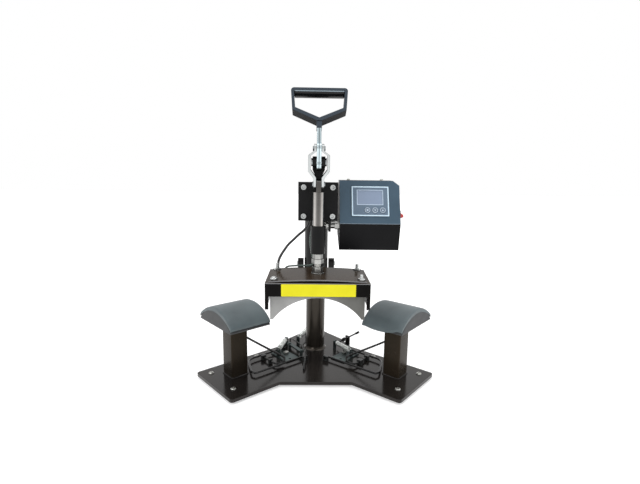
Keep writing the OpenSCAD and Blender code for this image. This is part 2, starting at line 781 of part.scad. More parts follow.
module handle_frame() {
  t = strap_thick;
  rise = (frame_shoulder - frame_apex) / (frame_low_half - 4.3);
  inner = frame_low_half - t;
  color([0.1, 0.11, 0.13]) home() lever_frame() {
    along_y(-strap_deep / 2, strap_deep) difference() {
      union() {
        polygon([[-4.3, frame_apex], [4.3, frame_apex], [frame_low_half, frame_shoulder],
          [frame_half, frame_top - frame_round], [frame_half - frame_round, frame_top],
          [frame_round - frame_half, frame_top], [-frame_half, frame_top - frame_round],
          [-frame_low_half, frame_shoulder]]);
        for (s = [-1, 1]) translate([s * (frame_half - frame_round), frame_top - frame_round])
          circle(frame_round);
      }
      polygon([[0, frame_apex + t / cos(25)], [inner, frame_apex + t / cos(25) + rise * (inner - 2)],
        [frame_half - t, frame_top - t], [t - frame_half, frame_top - t],
        [-inner, frame_apex + t / cos(25) + rise * (inner - 2)]]);
    }
    translate([-4.3, -9, stem_end]) cube([8.6, 18, frame_apex - stem_end + 3]);
  }
}

module handle_grip() {
  half = frame_half - strap_thick - 0.8;
  color([0.05, 0.05, 0.05]) home() lever_frame() along_x(-half, 2 * half) {
    deep = strap_deep - 1;
    top = frame_top - strap_thick - 0.1;
    translate([-deep / 2, top - 2.5]) square([deep, 2.5]);
    for (y = [-1, 1]) translate([y * (deep / 2 - grip_round), top - 1]) intersection() {
      circle(grip_round);
      translate([-grip_round, -grip_round]) square([2 * grip_round, grip_round - 0.1]);
    }
    translate([grip_round - deep / 2, top - 1 - grip_round]) square([deep - 2 * grip_round, grip_round]);
  }
}

module link_frame() {
  translate([0, knee_y, knee_z]) rotate([link_tilt, 0, 0]) children();
}

module toggle_links() {
  color([0.82, 0.82, 0.8]) home() link_frame() for (s = [0, 1]) mirror([s, 0, 0]) difference() {
    intersection() {
      along_y(-link_half, 2 * link_half) polygon([[4, 9], [4, -4], [13, -11], [13, -33], [4.4, -45],
        [4.4, -70], [8.6, -70], [8.6, -46.5], [17, -35.5], [17, -10.5], [8, -3.9], [8, 9]]);
      along_x(0, 20) {
        circle(link_half);
        translate([0, -link_long]) circle(link_half);
        translate([-link_half, -link_long]) square([2 * link_half, link_long]);
      }
    }
    rod_x(0, 20, link_pin + 0.02, 0, 0);
    rod_x(0, 20, link_pin + 0.02, 0, -link_long);
  }
}

module link_pins() {
  color([0.8, 0.8, 0.8]) home() link_frame() {
    rod_x(-8, 16, link_pin, 0, 0);
    for (s = [0, 180]) rotate([0, 0, s]) {
      translate([8, 0, 0]) rotate([30, 0, 0]) rotate([0, 90, 0]) hex(7.6, 2);
      rod_x(4.5, 4.1, link_pin, 0, -link_long);
      translate([8.6, 0, -link_long]) rotate([0, 90, 0]) cylinder(h = 1.6, r = 4.6);
    }
  }
}

// Plunger with its tongue between the links.
module plunger() {
  color([0.85, 0.85, 0.85]) home() difference() {
    union() {
      translate([0, -head_reach, barrel_low]) cylinder(h = shoulder - barrel_low, r = plunger_radius);
      along_x(-tongue_half, 2 * tongue_half) {
        translate([-head_reach, toe_z]) circle(8);
        translate([-head_reach - 8, shoulder - 1]) square([16, toe_z - shoulder + 1]);
      }
    }
    translate([0, -head_reach, barrel_low - 1]) cylinder(h = 22, r = stud_radius + run_gap);
    rod_x(-6, 12, link_pin + 0.1, -head_reach, toe_z);
  }
}

module adjusting_stud() {
  color([0.75, 0.75, 0.75]) home() translate([0, -head_reach, cover_top - 11])
    cylinder(h = barrel_low + 19 - cover_top + 11, r = stud_radius);
}

module ring_nut(low, across, high) {
  translate([0, -head_reach, low]) difference() {
    hex(across, high);
    translate([0, 0, -1]) cylinder(h = high + 2, r = stud_radius + 0.02);
  }
}

// Nuts and washers, from the one below the cover to the one at the plunger.
module adjusting_nuts() {
  bed = cover_top + press_thick + press_bow;
  color([0.8, 0.8, 0.78]) home() {
    ring_nut(cover_top - cover_sheet - 7, 16.5, 7);
    translate([0, -head_reach, bed]) difference() {
      cylinder(h = 1.6, r = 10.5);
      translate([0, 0, -1]) cylinder(h = 4, r = stud_radius + 0.1);
    }
    ring_nut(bed + 1.6 + seat_gap, 16.5, 10);
    ring_nut(barrel_low - 16.6, 17.8, 8);
    ring_nut(barrel_low - 8.6 + seat_gap, 15, 8.5);
  }
}

module press_plate() {
  half = heater_wide / 2 + 2.5;
  deep = heater_deep + 8;
  bow = (half * half + press_bow * press_bow) / (2 * press_bow);
  color([0.2, 0.2, 0.22]) home() difference() {
    along_y(-head_reach - deep / 2, deep) intersection() {
      difference() {
        translate([0, cover_top + press_bow + press_thick - bow]) circle(bow, $fn = 512);
        translate([0, cover_top + press_bow + seat_gap - bow]) circle(bow, $fn = 512);
      }
      translate([-half, cover_top - 3]) square([2 * half, 20]);
    }
    translate([0, -head_reach, cover_top - 1]) cylinder(h = 10, r = stud_radius + 0.3);
    for (x = [-1, 1], y = [-1, 1])
      translate([x * cover_bolt[0], y * cover_bolt[1] - head_reach, cover_top - 4]) cylinder(h = 12, r = 7.2);
  }
}

module heater_cover() {
  w = cover_wide / 2;
  d = cover_deep / 2;
  s = cover_sheet;
  skirt = cover_top - 21.5;
  foot = cover_top - 42.5;
  corner = 5.5;
  color([0.05, 0.05, 0.05]) home() translate([0, -head_reach, 0]) difference() {
    union() {
      translate([-w, -d, cover_top - s]) cube([2 * w, 2 * d, s]);
      for (y = [-d, d - s]) translate([-w, y, skirt]) cube([2 * w, s, cover_top - skirt]);
      for (x = [-w, w - s]) translate([x, -d, foot]) cube([s, 2 * d, cover_top - foot]);
      for (x = [-w, w - corner], y = [-d, d - s])
        translate([x, y, foot]) cube([corner, s, cover_top - foot]);
    }
    translate([0, 0, cover_top - 5]) cylinder(h = 10, r = stud_radius + 0.2);
    for (x = [-1, 1], y = [-1, 1])
      translate([x * cover_bolt[0], y * cover_bolt[1], cover_top - 5])
        cylinder(h = 10, r = bolt_radius + bolt_slack);
    rod_y(d - 6, 12, cable_radius + clear_gap, cable_end[0], cable_end[2]);
    rod_y(d - 6, 12, sensor_radius + clear_gap, sensor_end[0], sensor_end[2]);
  }
}

module cover_bolts() {
  color([0.85, 0.85, 0.82]) home() for (x = [-1, 1], y = [-1, 1])
    translate([x * cover_bolt[0], y * cover_bolt[1] - head_reach, cover_top]) {
      cylinder(h = 1.2, r = 6.6);
      translate([0, 0, 1.2]) hex(10, 4);
      translate([0, 0, -34]) cylinder(h = 34.5, r = bolt_radius);
      translate([0, 0, block_top - cover_top]) difference() {
        cylinder(h = cover_top - block_top - cover_sheet, r = 6);
        translate([0, 0, -1]) cylinder(h = 30, r = bolt_radius + 0.02);
      }
    }
}

module insulation_pad() {
  color([0.85, 0.83, 0.75]) home() translate([0, -head_reach, block_top + 4.5]) difference() {
    translate([15 - heater_wide / 2, 4 - heater_deep / 2, 0]) cube([heater_wide - 30, heater_deep - 8, 8]);
    translate([0, 0, -1]) cylinder(h = 12, r = 13);
  }
}

module heating_element() {
  color([0.5, 0.45, 0.35]) home() translate([0, -head_reach, block_top]) {
    translate([15 - heater_wide / 2, 7 - heater_deep / 2, 0]) cube([heater_wide - 30, heater_deep - 14, 3]);
    for (x = [-50, -30]) translate([x, heater_deep / 2 - 7, 0]) cube([6, 5, 2]);
  }
}

// Curved aluminium heater block with flat tips.
module heater_block() {
  w = heater_wide / 2;
  color([0.72, 0.72, 0.72]) home() difference() {
    along_y(-head_reach - heater_deep / 2, heater_deep) difference() {
      polygon([[-w, tip_low], [w, tip_low], [w, block_top - 4], [w - 4, block_top],
        [4 - w, block_top], [-w, block_top - 4]]);
      translate([0, heater_axis]) circle(heater_radius, $fn = 128);
      translate([8 - w, tip_low - 10]) square([2 * w - 16, 14]);
    }
    for (x = [-1, 1], y = [-1, 1])
      translate([x * cover_bolt[0], y * cover_bolt[1] - head_reach, block_top - 16])
        cylinder(h = 30, r = bolt_radius + 0.02);
    rod_y(-head_reach + heater_deep / 2 - 20, 30, probe[1] + run_gap, probe[0], block_top - 4.5);
  }
}

module temperature_sensor() {
  color([0.7, 0.7, 0.7]) home() {
    rod_y(-head_reach + heater_deep / 2 - 18, 20, probe[1], probe[0], block_top - 4.5);
  }
}

// Control box: folded shell, sloping panel and what it holds.
function inset(p, d) = [
  for (i = [0 : len(p) - 1])
    let (a = unit(p[i] - p[(i + len(p) - 1) % len(p)]), b = unit(p[(i + 1) % len(p)] - p[i]),
      m = [-a[1], a[0]], n = [-b[1], b[0]])
    p[i] + d * (m + n) / (1 + m * n)];

module panel_frame() {
  translate([0, panel_foot[0], panel_foot[1]]) rotate([-panel_tilt, 0, 0]) children();
}

// Bevelled upper corner at the box's right side, grown by a wall for the shell's inner face.
module box_corner(grow) {
  x = box_right - corner_cut[0] - grow;
  z = box_top - corner_cut[1] - grow;
  along_y(-plate_face - 10, box_deep + 20)
    polygon([[x, box_top + 1], [x, box_top], [box_right, z], [box_right + 1, z],
      [box_right + 1, box_top + 1]]);
}

module control_box() {
  color([0.06, 0.07, 0.08]) home() difference() {
    along_x(box_left, box_wide) polygon(box_side);
    difference() {
      along_x(box_left + box_wall, box_wide - 2 * box_wall) polygon(inset(box_side, box_wall));
      box_corner(box_wall);
    }
    panel_frame() translate([box_left - 1, -5, -0.01]) cube([box_wide + 2, 5 + panel_thick, panel_long + 8]);
    panel_frame() translate([box_left + 4, 0, 5]) cube([box_wide - 8, 8, panel_long - 10]);
    for (y = box_stud_y) rod_x(box_left - 2, 6, bolt_radius + bolt_slack, y, box_stud_z);
    translate([box_right - 6, rocker_spot[0] - 5.5, rocker_spot[1] - 7.5]) cube([10, 11, 15]);
    translate([inlet_spot[0], 55 - plate_face, inlet_spot[1]]) cube([inlet_size[0], 30, inlet_size[1]]);
    for (x = box_screw_x) translate([x, box_screw_y, box_top - 8]) cylinder(h = 20, r = 1.6);
    box_corner(0);
  }
}

module control_panel() {
  color([0.27, 0.35, 0.41]) home() panel_frame() difference() {
    translate([box_left, panel_thick - 0.02, 0]) rotate([90, 0, 0]) linear_extrude(panel_thick - 0.02)
      polygon([[0, 0], [box_wide, 0], [box_wide, panel_long - corner_cut[1] / cos(panel_tilt)],
        [box_wide - corner_cut[0], panel_long], [0, panel_long]]);
    translate([lcd_box[0] - 1, -2, lcd_box[1] - 1]) cube([lcd_box[2] + 2, 10, lcd_box[3] + 2]);
    for (x = key_row) rod_y(-2, 10, key_radius + 0.15, x, key_high);
    for (x = [-1, 1], z = [-1, 1]) translate([panel_mid + x * 29, -2, 40 + z * 24]) rotate([-90, 0, 0])
      cylinder(h = 10, r = 1.1);
  }
}

module panel_bezel() {
  color([0.12, 0.13, 0.15]) home() panel_frame() difference() {
    translate([bezel_box[0], -1.8, bezel_box[1]]) cube([bezel_box[2], 1.78, bezel_box[3]]);
    translate([lcd_box[0], -5, lcd_box[1]]) cube([lcd_box[2], 10, lcd_box[3]]);
    for (x = key_row) rod_y(-5, 10, key_radius + 0.15, x, key_high);
  }
}

module display_window() {
  color([0.5, 0.55, 0.6]) home() panel_frame()
    translate([lcd_box[0] + 0.1, -1.2, lcd_box[1] + 0.1]) cube([lcd_box[2] - 0.2, 3.6, lcd_box[3] - 0.2]);
}

module panel_key(x) {
  color([0.2, 0.2, 0.22]) home() panel_frame() {
    rod_y(-2.8, 5.6, key_radius, x, key_high);
    rod_y(2.8, 1, key_radius + 0.9, x, key_high);
  }
}

module set_key() {
  panel_key(key_row[0]);
}

module down_key() {
  panel_key(key_row[1]);
}

module up_key() {
  panel_key(key_row[2]);
}

module panel_screws() {
  color([0.7, 0.7, 0.7]) home() for (x = box_screw_x) translate([x, box_screw_y, box_top])
    pan_screw(1.5, 3, 4.5);
}

module circuit_board() {
  color([0.1, 0.4, 0.2]) home() panel_frame() {
    translate([box_left + 12, 7.5, 8]) cube([box_wide - 24, 1.6, panel_long - 22]);
    for (x = [-1, 1], z = [0, 1]) translate([panel_mid + x * 30, 9.1, 16 + z * 44]) rotate([90, 0, 0])
      cylinder(h = 7, r = 1.6);
    for (x = key_row) translate([x - 3, 4.6, key_high - 3]) cube([6, 3, 6]);
  }
}

module relay_block() {
  color([0.85, 0.85, 0.85]) home() panel_frame()
    translate([panel_mid - 16, 9.12, 24]) cube([22, 14, 20]);
}

module power_inlet() {
  color([0.05, 0.05, 0.05]) home() difference() {
    translate([inlet_spot[0] + 0.2, 39 - plate_face, inlet_spot[1] + 0.2])
      cube([inlet_size[0] - 0.4, 28, inlet_size[1] - 0.4]);
    translate([inlet_spot[0] + 3, 52 - plate_face, inlet_spot[1] + 3])
      cube([inlet_size[0] - 6, 20, inlet_size[1] - 6]);
  }
}

module switch_housing() {
  color([0.05, 0.05, 0.05]) home() translate([box_right, rocker_spot[0], rocker_spot[1]]) difference() {
    union() {
      translate([-11.8, -5.3, -7.3]) cube([11.8, 10.6, 14.6]);
      translate([0, -6.5, -8.5]) cube([1.2, 13, 17]);
    }
    translate([-8, -3.7, -6]) cube([12, 7.4, 12]);
  }
}

module power_rocker() {
  color([0.7, 0.05, 0.05]) home() translate([box_right, rocker_spot[0], rocker_spot[1]]) {
    rotate([90, 0, 0]) translate([0, 0, -3.5]) linear_extrude(7)
      polygon([[-4.5, -4], [-0.6, -5.2], [3.8, -4.6], [1.6, 0], [1.4, 5], [-0.6, 5.2], [-4.5, 4]]);
  }
}

// Plated studs that carry the box on the arm's hanging plate.
module box_studs() {
  face = hang_plate[0] + hang_plate[1];
  color([0.78, 0.78, 0.78]) home() for (y = box_stud_y) {
    rod_x(face, box_left - face, 5.5, y, box_stud_z);
    translate([box_left - 8, y, box_stud_z]) rotate([0, 90, 0]) hex(12.4, 8);
    rod_x(box_left, 8, bolt_radius, y, box_stud_z);
    rod_x(face - 10.5, 11, bolt_radius, y, box_stud_z);
    for (x = [box_left + box_wall, hang_plate[0] - 4.1])
      translate([x, y, box_stud_z]) rotate([0, 90, 0]) difference() {
        hex(10, 4);
        translate([0, 0, -1]) cylinder(h = 8, r = bolt_radius + 0.02);
      }
  }
}

// Turned rubber grommets where the cable and the wire leave the arm.
module cable_grommets() {
  color([0.03, 0.03, 0.03]) home() for (g = grommets) {
    r = g[1];
    translate([g[0][0], g[0][1], arm_low]) rotate_extrude() polygon([[r, -5], [r + 4.4, -5],
      [r + 4.4, -0.1], [r + grommet_neck, -0.1], [r + grommet_neck, 3.2], [r, 3.2]]);
  }
}

module heater_cable() {
  color([0.03, 0.03, 0.03]) home() swept(cable_path, cable_radius, 10);
}

module sensor_wire() {
  color([0.45, 0.5, 0.45]) home() swept(sensor_path, sensor_radius, 8);
}

base_plate();
rubber_feet();
plate_screws();
pillar();
stop_collar();
stop_bolts();
platen_posts();
platen_bodies();
platen_pads();
platen_screws();
station_brackets();
wire_clips();
lever_upright();
guard_wire();
station_springs();
left_bail();
right_bail();
left_hook();
right_hook();
lever_wire();
swing_sleeve();
sleeve_bearings();
pillar_cap();
head_arm();
clamp_casting();
casting_screws();
guide_liner();
main_pin();
lever_bar();
handle_frame();
handle_grip();
toggle_links();
link_pins();
plunger();
adjusting_stud();
adjusting_nuts();
press_plate();
heater_cover();
cover_bolts();
insulation_pad();
heating_element();
heater_block();
temperature_sensor();
control_box();
control_panel();
panel_bezel();
display_window();
set_key();
down_key();
up_key();
panel_screws();
circuit_board();
relay_block();
power_inlet();
switch_housing();
power_rocker();
box_studs();
cable_grommets();
heater_cable();
sensor_wire();
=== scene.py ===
import json
import math

import bmesh
import bpy
from mathutils import Matrix, Vector
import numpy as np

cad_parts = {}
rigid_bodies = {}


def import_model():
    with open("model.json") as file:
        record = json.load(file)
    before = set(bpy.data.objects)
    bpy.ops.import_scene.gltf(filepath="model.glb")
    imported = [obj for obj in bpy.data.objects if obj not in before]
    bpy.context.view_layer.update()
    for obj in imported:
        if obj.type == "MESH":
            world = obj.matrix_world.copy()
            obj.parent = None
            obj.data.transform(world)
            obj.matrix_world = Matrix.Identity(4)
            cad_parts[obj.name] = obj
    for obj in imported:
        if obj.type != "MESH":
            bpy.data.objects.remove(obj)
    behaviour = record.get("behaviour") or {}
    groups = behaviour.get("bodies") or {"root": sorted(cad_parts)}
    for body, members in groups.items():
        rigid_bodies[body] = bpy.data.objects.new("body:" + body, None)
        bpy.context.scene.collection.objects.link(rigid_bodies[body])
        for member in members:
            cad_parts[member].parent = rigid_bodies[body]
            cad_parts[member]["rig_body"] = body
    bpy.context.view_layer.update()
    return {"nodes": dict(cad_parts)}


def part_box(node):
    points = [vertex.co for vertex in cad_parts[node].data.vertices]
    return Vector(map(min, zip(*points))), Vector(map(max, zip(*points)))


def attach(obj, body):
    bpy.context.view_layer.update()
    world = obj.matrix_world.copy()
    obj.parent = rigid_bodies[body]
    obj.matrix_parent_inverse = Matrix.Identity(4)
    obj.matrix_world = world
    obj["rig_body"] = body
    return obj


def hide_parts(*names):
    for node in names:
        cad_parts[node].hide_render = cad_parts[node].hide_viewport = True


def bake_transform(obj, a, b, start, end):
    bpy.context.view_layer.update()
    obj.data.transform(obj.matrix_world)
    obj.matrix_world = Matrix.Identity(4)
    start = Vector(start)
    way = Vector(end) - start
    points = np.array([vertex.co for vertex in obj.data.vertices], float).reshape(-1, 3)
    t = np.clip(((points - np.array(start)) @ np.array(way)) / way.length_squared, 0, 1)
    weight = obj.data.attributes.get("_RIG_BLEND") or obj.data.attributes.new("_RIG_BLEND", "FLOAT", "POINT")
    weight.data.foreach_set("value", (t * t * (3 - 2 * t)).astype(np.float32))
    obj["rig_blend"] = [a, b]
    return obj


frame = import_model()
MM = 0.001

# Camera, fitted to the photograph's edges; its place is given from the pillar's axis.
PILLAR_Y = (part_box("pillar")[0].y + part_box("pillar")[1].y) / 2
CAMERA_FROM_PILLAR = Vector((-12.35, -891.21, 392.55)) * MM
CAMERA_YAW = math.radians(1.30)
CAMERA_PITCH = math.radians(9.64)
CAMERA_ROLL = math.radians(0.80)
SENSOR_WIDE = 36
FOCAL_SHARE = 430.85 / 640

# Layout of the part, repeated from its source in millimetres.
ARM_ANGLE = math.radians(40)
PLATE_TOP = 10
WIRE_HIGH = 16
STATION_REACH = 197
POST_HALF = 17
PLATEN_LONG = 81
PLATEN_HALF = 56.5
PAD_AXIS = 66
PAD_RADIUS = 80
PAD_THICK = 6
HEAD_REACH = 196
PIVOT_HIGH = 403
FRAME_TOP = 122.7
STRAP_THICK = 4.8
HANDLE_LEAN = math.radians(20)
COVER_TOP = 217
COVER_HALF_DEEP = 47.5
BOLT_ACROSS = 69
BOLT_DEEP = 34
NUT_TOP = 222
BOX_RIGHT = 141.5
ROCKER_HIGH = 315
PANEL_FOOT = (-165, 301)
PANEL_TILT = math.atan2(30, 72.4)
BEZEL = (58, 13.5, 64, 53.5)
LCD = (68, 34.6, 43, 25)
KEY_ROW = (84.7, 97.9, 111)
KEY_HIGH = 24
KEY_RADIUS = 4.9


def at(x, y, z):
    """A point given in millimetres from the pillar's axis, in the row frame."""
    return Vector((x * MM, y * MM + PILLAR_Y, z * MM))


def arm_point(side, along, across, z):
    """A point on one of the base's two arms; side is 1 for the right one and -1 for the left."""
    x = along * math.cos(ARM_ANGLE) + across * math.sin(ARM_ANGLE)
    y = across * math.cos(ARM_ANGLE) - along * math.sin(ARM_ANGLE)
    return at(side * x, y, z)


# Camera.
def make_camera():
    ahead = Vector((
        math.sin(CAMERA_YAW) * math.cos(CAMERA_PITCH),
        math.cos(CAMERA_YAW) * math.cos(CAMERA_PITCH),
        -math.sin(CAMERA_PITCH)))
    level = Vector((math.cos(CAMERA_YAW), -math.sin(CAMERA_YAW), 0))
    upright = level.cross(ahead)
    right = level * math.cos(CAMERA_ROLL) + upright * math.sin(CAMERA_ROLL)
    up = upright * math.cos(CAMERA_ROLL) - level * math.sin(CAMERA_ROLL)
    data = bpy.data.cameras.new("photo_camera")
    data.sensor_fit = "HORIZONTAL"
    data.sensor_width = SENSOR_WIDE
    data.lens = SENSOR_WIDE * FOCAL_SHARE
    data.clip_start = 0.01
    data.clip_end = 50
    camera = bpy.data.objects.new("photo_camera", data)
    bpy.context.scene.collection.objects.link(camera)
    turn = Matrix((right, up, -ahead)).transposed().to_4x4()
    camera.matrix_world = Matrix.Translation(CAMERA_FROM_PILLAR + Vector((0, PILLAR_Y, 0))) @ turn
    bpy.context.scene.camera = camera


make_camera()


# Shader helpers, for materials and for the world.
def computed(tree, operation, first, second=None, clamp=False):
    """The result of one sum on one or two sockets."""
    node = tree.nodes.new("ShaderNodeMath")
    node.operation = operation
    node.use_clamp = clamp
    tree.links.new(first, node.inputs[0])
    if second is not None:
        tree.links.new(second, node.inputs[1])
    return node.outputs[0]


def part_of(tree, source, axis):
    node = tree.nodes.new("ShaderNodeSeparateXYZ")
    tree.links.new(source, node.inputs["Vector"])
    return node.outputs[axis]


def ranged(tree, source, low, high, start, end):
    """Turns low to high into start to end, smoothly and never past them."""
    node = tree.nodes.new("ShaderNodeMapRange")
    node.interpolation_type = "SMOOTHSTEP"
    for key, value in (("From Min", low), ("From Max", high), ("To Min", start), ("To Max", end)):
        node.inputs[key].default_value = value
    tree.links.new(source, node.inputs["Value"])
    return node.outputs["Result"]


def seen_rays(tree):
    """One for rays of the camera, of mirrors and of glass, and nought for the rest."""
    path = tree.nodes.new("ShaderNodeLightPath")
    total = path.outputs["Is Camera Ray"]
    for kind in ("Is Glossy Ray", "Is Transmission Ray"):
        total = computed(tree, "ADD", total, path.outputs[kind], clamp=True)
    return total


class Finish:
    """A node material built up step by step around one principled shader."""

    SOCKETS = {"metal": "Metallic", "gloss": "Specular IOR Level", "coat": "Coat Weight",
               "coat_rough": "Coat Roughness", "sheen": "Sheen Weight"}

    def __init__(self, name):
        self.material = bpy.data.materials.new(name)
        self.material.use_nodes = True
        self.tree = self.material.node_tree
        self.shader = self.tree.nodes["Principled BSDF"]
        place = self.add("ShaderNodeTexCoord")
        self.place = place.outputs["Object"]
        self.normal = place.outputs["Normal"]
        self.height = None

    def add(self, kind, **values):
        node = self.tree.nodes.new(kind)
        for key, value in values.items():
            setattr(node, key, value)
        return node

    def link(self, source, target):
        self.tree.links.new(source, target)

    def noise(self, scale, detail=3, stretch=(1, 1, 1)):
        mapping = self.add("ShaderNodeMapping")
        mapping.inputs["Scale"].default_value = stretch
        self.link(self.place, mapping.inputs["Vector"])
        node = self.add("ShaderNodeTexNoise")
        node.inputs["Scale"].default_value = scale
        node.inputs["Detail"].default_value = detail
        self.link(mapping.outputs["Vector"], node.inputs["Vector"])
        return node.outputs["Fac"]

    def ramp(self, source, low, high, dark, light):
        node = self.add("ShaderNodeValToRGB")
        node.color_ramp.elements[0].position = low
        node.color_ramp.elements[1].position = high
        node.color_ramp.elements[0].color = (*dark, 1)
        node.color_ramp.elements[1].color = (*light, 1)
        self.link(source, node.inputs["Fac"])
        return node.outputs["Color"]

    def along(self, source, axis):
        return part_of(self.tree, source, axis)

    def ranged(self, source, low, high, start, end):
        return ranged(self.tree, source, low, high, start, end)

    def toned(self, source, share, tone):
        """The source colour, turning into the tone as the share grows from nought to one."""
        node = self.add("ShaderNodeMix", data_type="RGBA")
        self.link(share, node.inputs["Factor"])
        self.link(source, node.inputs["A"])
        node.inputs["B"].default_value = (*tone, 1)
        return node.outputs["Result"]

    def painted_bands(self, source, stops):
        """The source colour with painted reflection and shade, lighter or darker by how far a face turns to
        either side.
        """
        ramp = self.add("ShaderNodeValToRGB")
        marks = ramp.color_ramp.elements
        while len(marks) < len(stops):
            marks.new(0.5)
        for mark, (place, shade) in zip(marks, stops):
            mark.position = place
            mark.color = (shade, shade, shade, 1)
        sideways = computed(self.tree, "ABSOLUTE", self.along(self.normal, "X"))
        self.link(sideways, ramp.inputs["Fac"])
        node = self.add("ShaderNodeMix", data_type="RGBA", blend_type="MULTIPLY")
        node.inputs["Factor"].default_value = 1
        self.link(source, node.inputs["A"])
        self.link(ramp.outputs["Color"], node.inputs["B"])
        return node.outputs["Result"]

    def colour(self, source):
        self.link(source, self.shader.inputs["Base Color"])

    def rough(self, source, low, high):
        node = self.add("ShaderNodeMapRange")
        node.inputs["To Min"].default_value = low
        node.inputs["To Max"].default_value = high
        self.link(source, node.inputs["Value"])
        self.link(node.outputs["Result"], self.shader.inputs["Roughness"])

    def bump(self, source, strength, depth):
        """Relief of the given depth in metres, laid over any relief made before it."""
        node = self.add("ShaderNodeBump")
        node.inputs["Strength"].default_value = strength
        node.inputs["Distance"].default_value = depth
        self.link(source, node.inputs["Height"])
        if self.height is not None:
            self.link(self.height, node.inputs["Normal"])
        self.height = node.outputs["Normal"]
        self.link(self.height, self.shader.inputs["Normal"])

    def set(self, **values):
        for key, value in values.items():
            self.shader.inputs[self.SOCKETS[key]].default_value = value


# Kinds of finish.
def enamel(name, tone, warm, rough=0.2, peel=0.12, gloss=0.2, tint=(1, 1, 1), turned=None, line=None):
    """Stove enamel: orange peel, slight dust and colour drift.

    turned is the slope from which and to which faces take another tone, and that tone, as painted light or
    shade by which way a face looks;
    line is the height from which and to which a pale painted highlight appears along the top edges, and its
    tone."""
    f = Finish(name)
    base = f.ramp(f.noise(9, detail=4), 0.3, 0.75, tone, warm)
    slope = f.along(f.normal, "Z")
    if turned:
        base = f.toned(base, f.ranged(slope, turned[0], turned[1], 0, 1), turned[2])
    if line:
        height = f.ranged(f.along(f.place, "Z"), line[0], line[1], 0, 1)
        upright = f.ranged(slope, 0.75, 0.95, 1, 0)
        base = f.toned(base, computed(f.tree, "MULTIPLY", height, upright), line[2])
    f.colour(base)
    f.shader.inputs["Specular Tint"].default_value = (*tint, 1)
    f.rough(f.noise(60, detail=5), rough * 0.75, rough * 1.35)
    f.bump(f.noise(700, detail=2), peel, 0.2 * MM)
    f.set(gloss=gloss)
    return f.material


def plated(name, tone, shade, rough, stretch=(1, 1, 1), scale=300, painted_reflection_bands=((0, 1), (1, 1))):
    """Plated or bare metal with fine directional brushing, stains, and painted reflection bands by the
    side's turn.
    """
    f = Finish(name)
    f.colour(f.painted_bands(f.ramp(f.noise(35, detail=5), 0.25, 0.8, shade, tone), painted_reflection_bands))
    f.rough(f.noise(scale, 4, stretch), rough * 0.6, rough * 1.5)
    f.bump(f.noise(scale * 1.5, 3, stretch), 0.12, 0.1 * MM)
    f.set(metal=1)
    return f.material


def moulded(name, tone, light, rough, grain=900, depth=0.15 * MM, gloss=0.5, coat=0.0):
    """Moulded plastic or rubber with a fine spark texture."""
    f = Finish(name)
    f.colour(f.ramp(f.noise(25, detail=4), 0.3, 0.7, tone, light))
    f.rough(f.noise(120, detail=4), rough * 0.8, rough * 1.2)
    f.bump(f.noise(grain, detail=2), 0.2, depth)
    f.set(gloss=gloss, coat=coat)
    return f.material


def silicone_pad():
    """Silicone rubber: slate grey, satin, with fine pores and soft marks, and painted shade, near black, on
    faces that look down.
    """
    f = Finish("silicone_pad")
    base = f.ramp(f.noise(18, detail=5), 0.3, 0.72, (0.072, 0.094, 0.102), (0.112, 0.144, 0.154))
    # Painted shade: faces that look down turn near black.
    painted_under_shade = f.ranged(f.along(f.normal, "Z"), -0.5, -0.1, 1, 0)
    f.colour(f.toned(base, painted_under_shade, (0.012, 0.012, 0.012)))
    f.rough(f.noise(90, detail=5), 0.42, 0.6)
    f.bump(f.noise(14, detail=3), 0.2, 1.2 * MM)
    f.bump(f.noise(1400, detail=2), 0.25, 0.1 * MM)
    f.set(sheen=0.15, gloss=0.4)
    return f.material


def cast_aluminium():
    """Bare cast aluminium with machining lines along the arc, and a painted dark reflection that grows
    towards its right.
    """
    f = Finish("cast_aluminium")
    base = f.ramp(f.noise(30, detail=6), 0.3, 0.75, (0.27, 0.27, 0.265), (0.37, 0.37, 0.365))
    # Painted reflection: darker towards the right, standing in for dark surroundings reflected in the metal.
    painted_dark_reflection = f.ranged(f.along(f.place, "X"), -20 * MM, 55 * MM, 0, 0.85)
    f.colour(f.toned(base, painted_dark_reflection, (0.085, 0.085, 0.075)))
    f.rough(f.noise(220, detail=5, stretch=(1, 0.2, 1)), 0.38, 0.62)
    f.bump(f.noise(500, detail=4, stretch=(0.2, 1, 0.2)), 0.25, 0.2 * MM)
    f.set(metal=0.4)
    return f.material


def panel_paint():
    """Slate-blue satin sheet, with a painted highlight as a pale line along its lower fold."""
    f = Finish("panel_paint")
    base = f.ramp(f.noise(12, detail=4), 0.3, 0.7, (0.036, 0.07, 0.103), (0.053, 0.095, 0.137))
    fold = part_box("control_panel")[0].z
    # Painted highlight: a pale band along the bottom of the panel, at its fold.
    fold_highlight = f.ranged(f.along(f.place, "Z"), fold + 0.9 * MM, fold + 1.5 * MM, 1, 0)
    f.colour(f.toned(base, fold_highlight, (0.3, 0.36, 0.42)))
    f.rough(f.noise(150, detail=4), 0.3, 0.45)
    f.bump(f.noise(900, detail=2), 0.15, 0.2 * MM)
    f.set(coat=0.1, coat_rough=0.2, gloss=0.35)
    return f.material


def lcd_glass():
    """Unlit grey display under clear glass, with faint bars of rows."""
    f = Finish("lcd_glass")
    wave = f.add("ShaderNodeTexWave", bands_direction="Z")
    wave.inputs["Scale"].default_value = 160
    f.link(f.place, wave.inputs["Vector"])
    f.colour(f.ramp(wave.outputs["Fac"], 0.2, 0.9, (0.19, 0.25, 0.36), (0.22, 0.285, 0.4)))
    f.rough(f.noise(80, detail=2), 0.06, 0.14)
    f.set(coat=0.8, coat_rough=0.02)
    return f.material


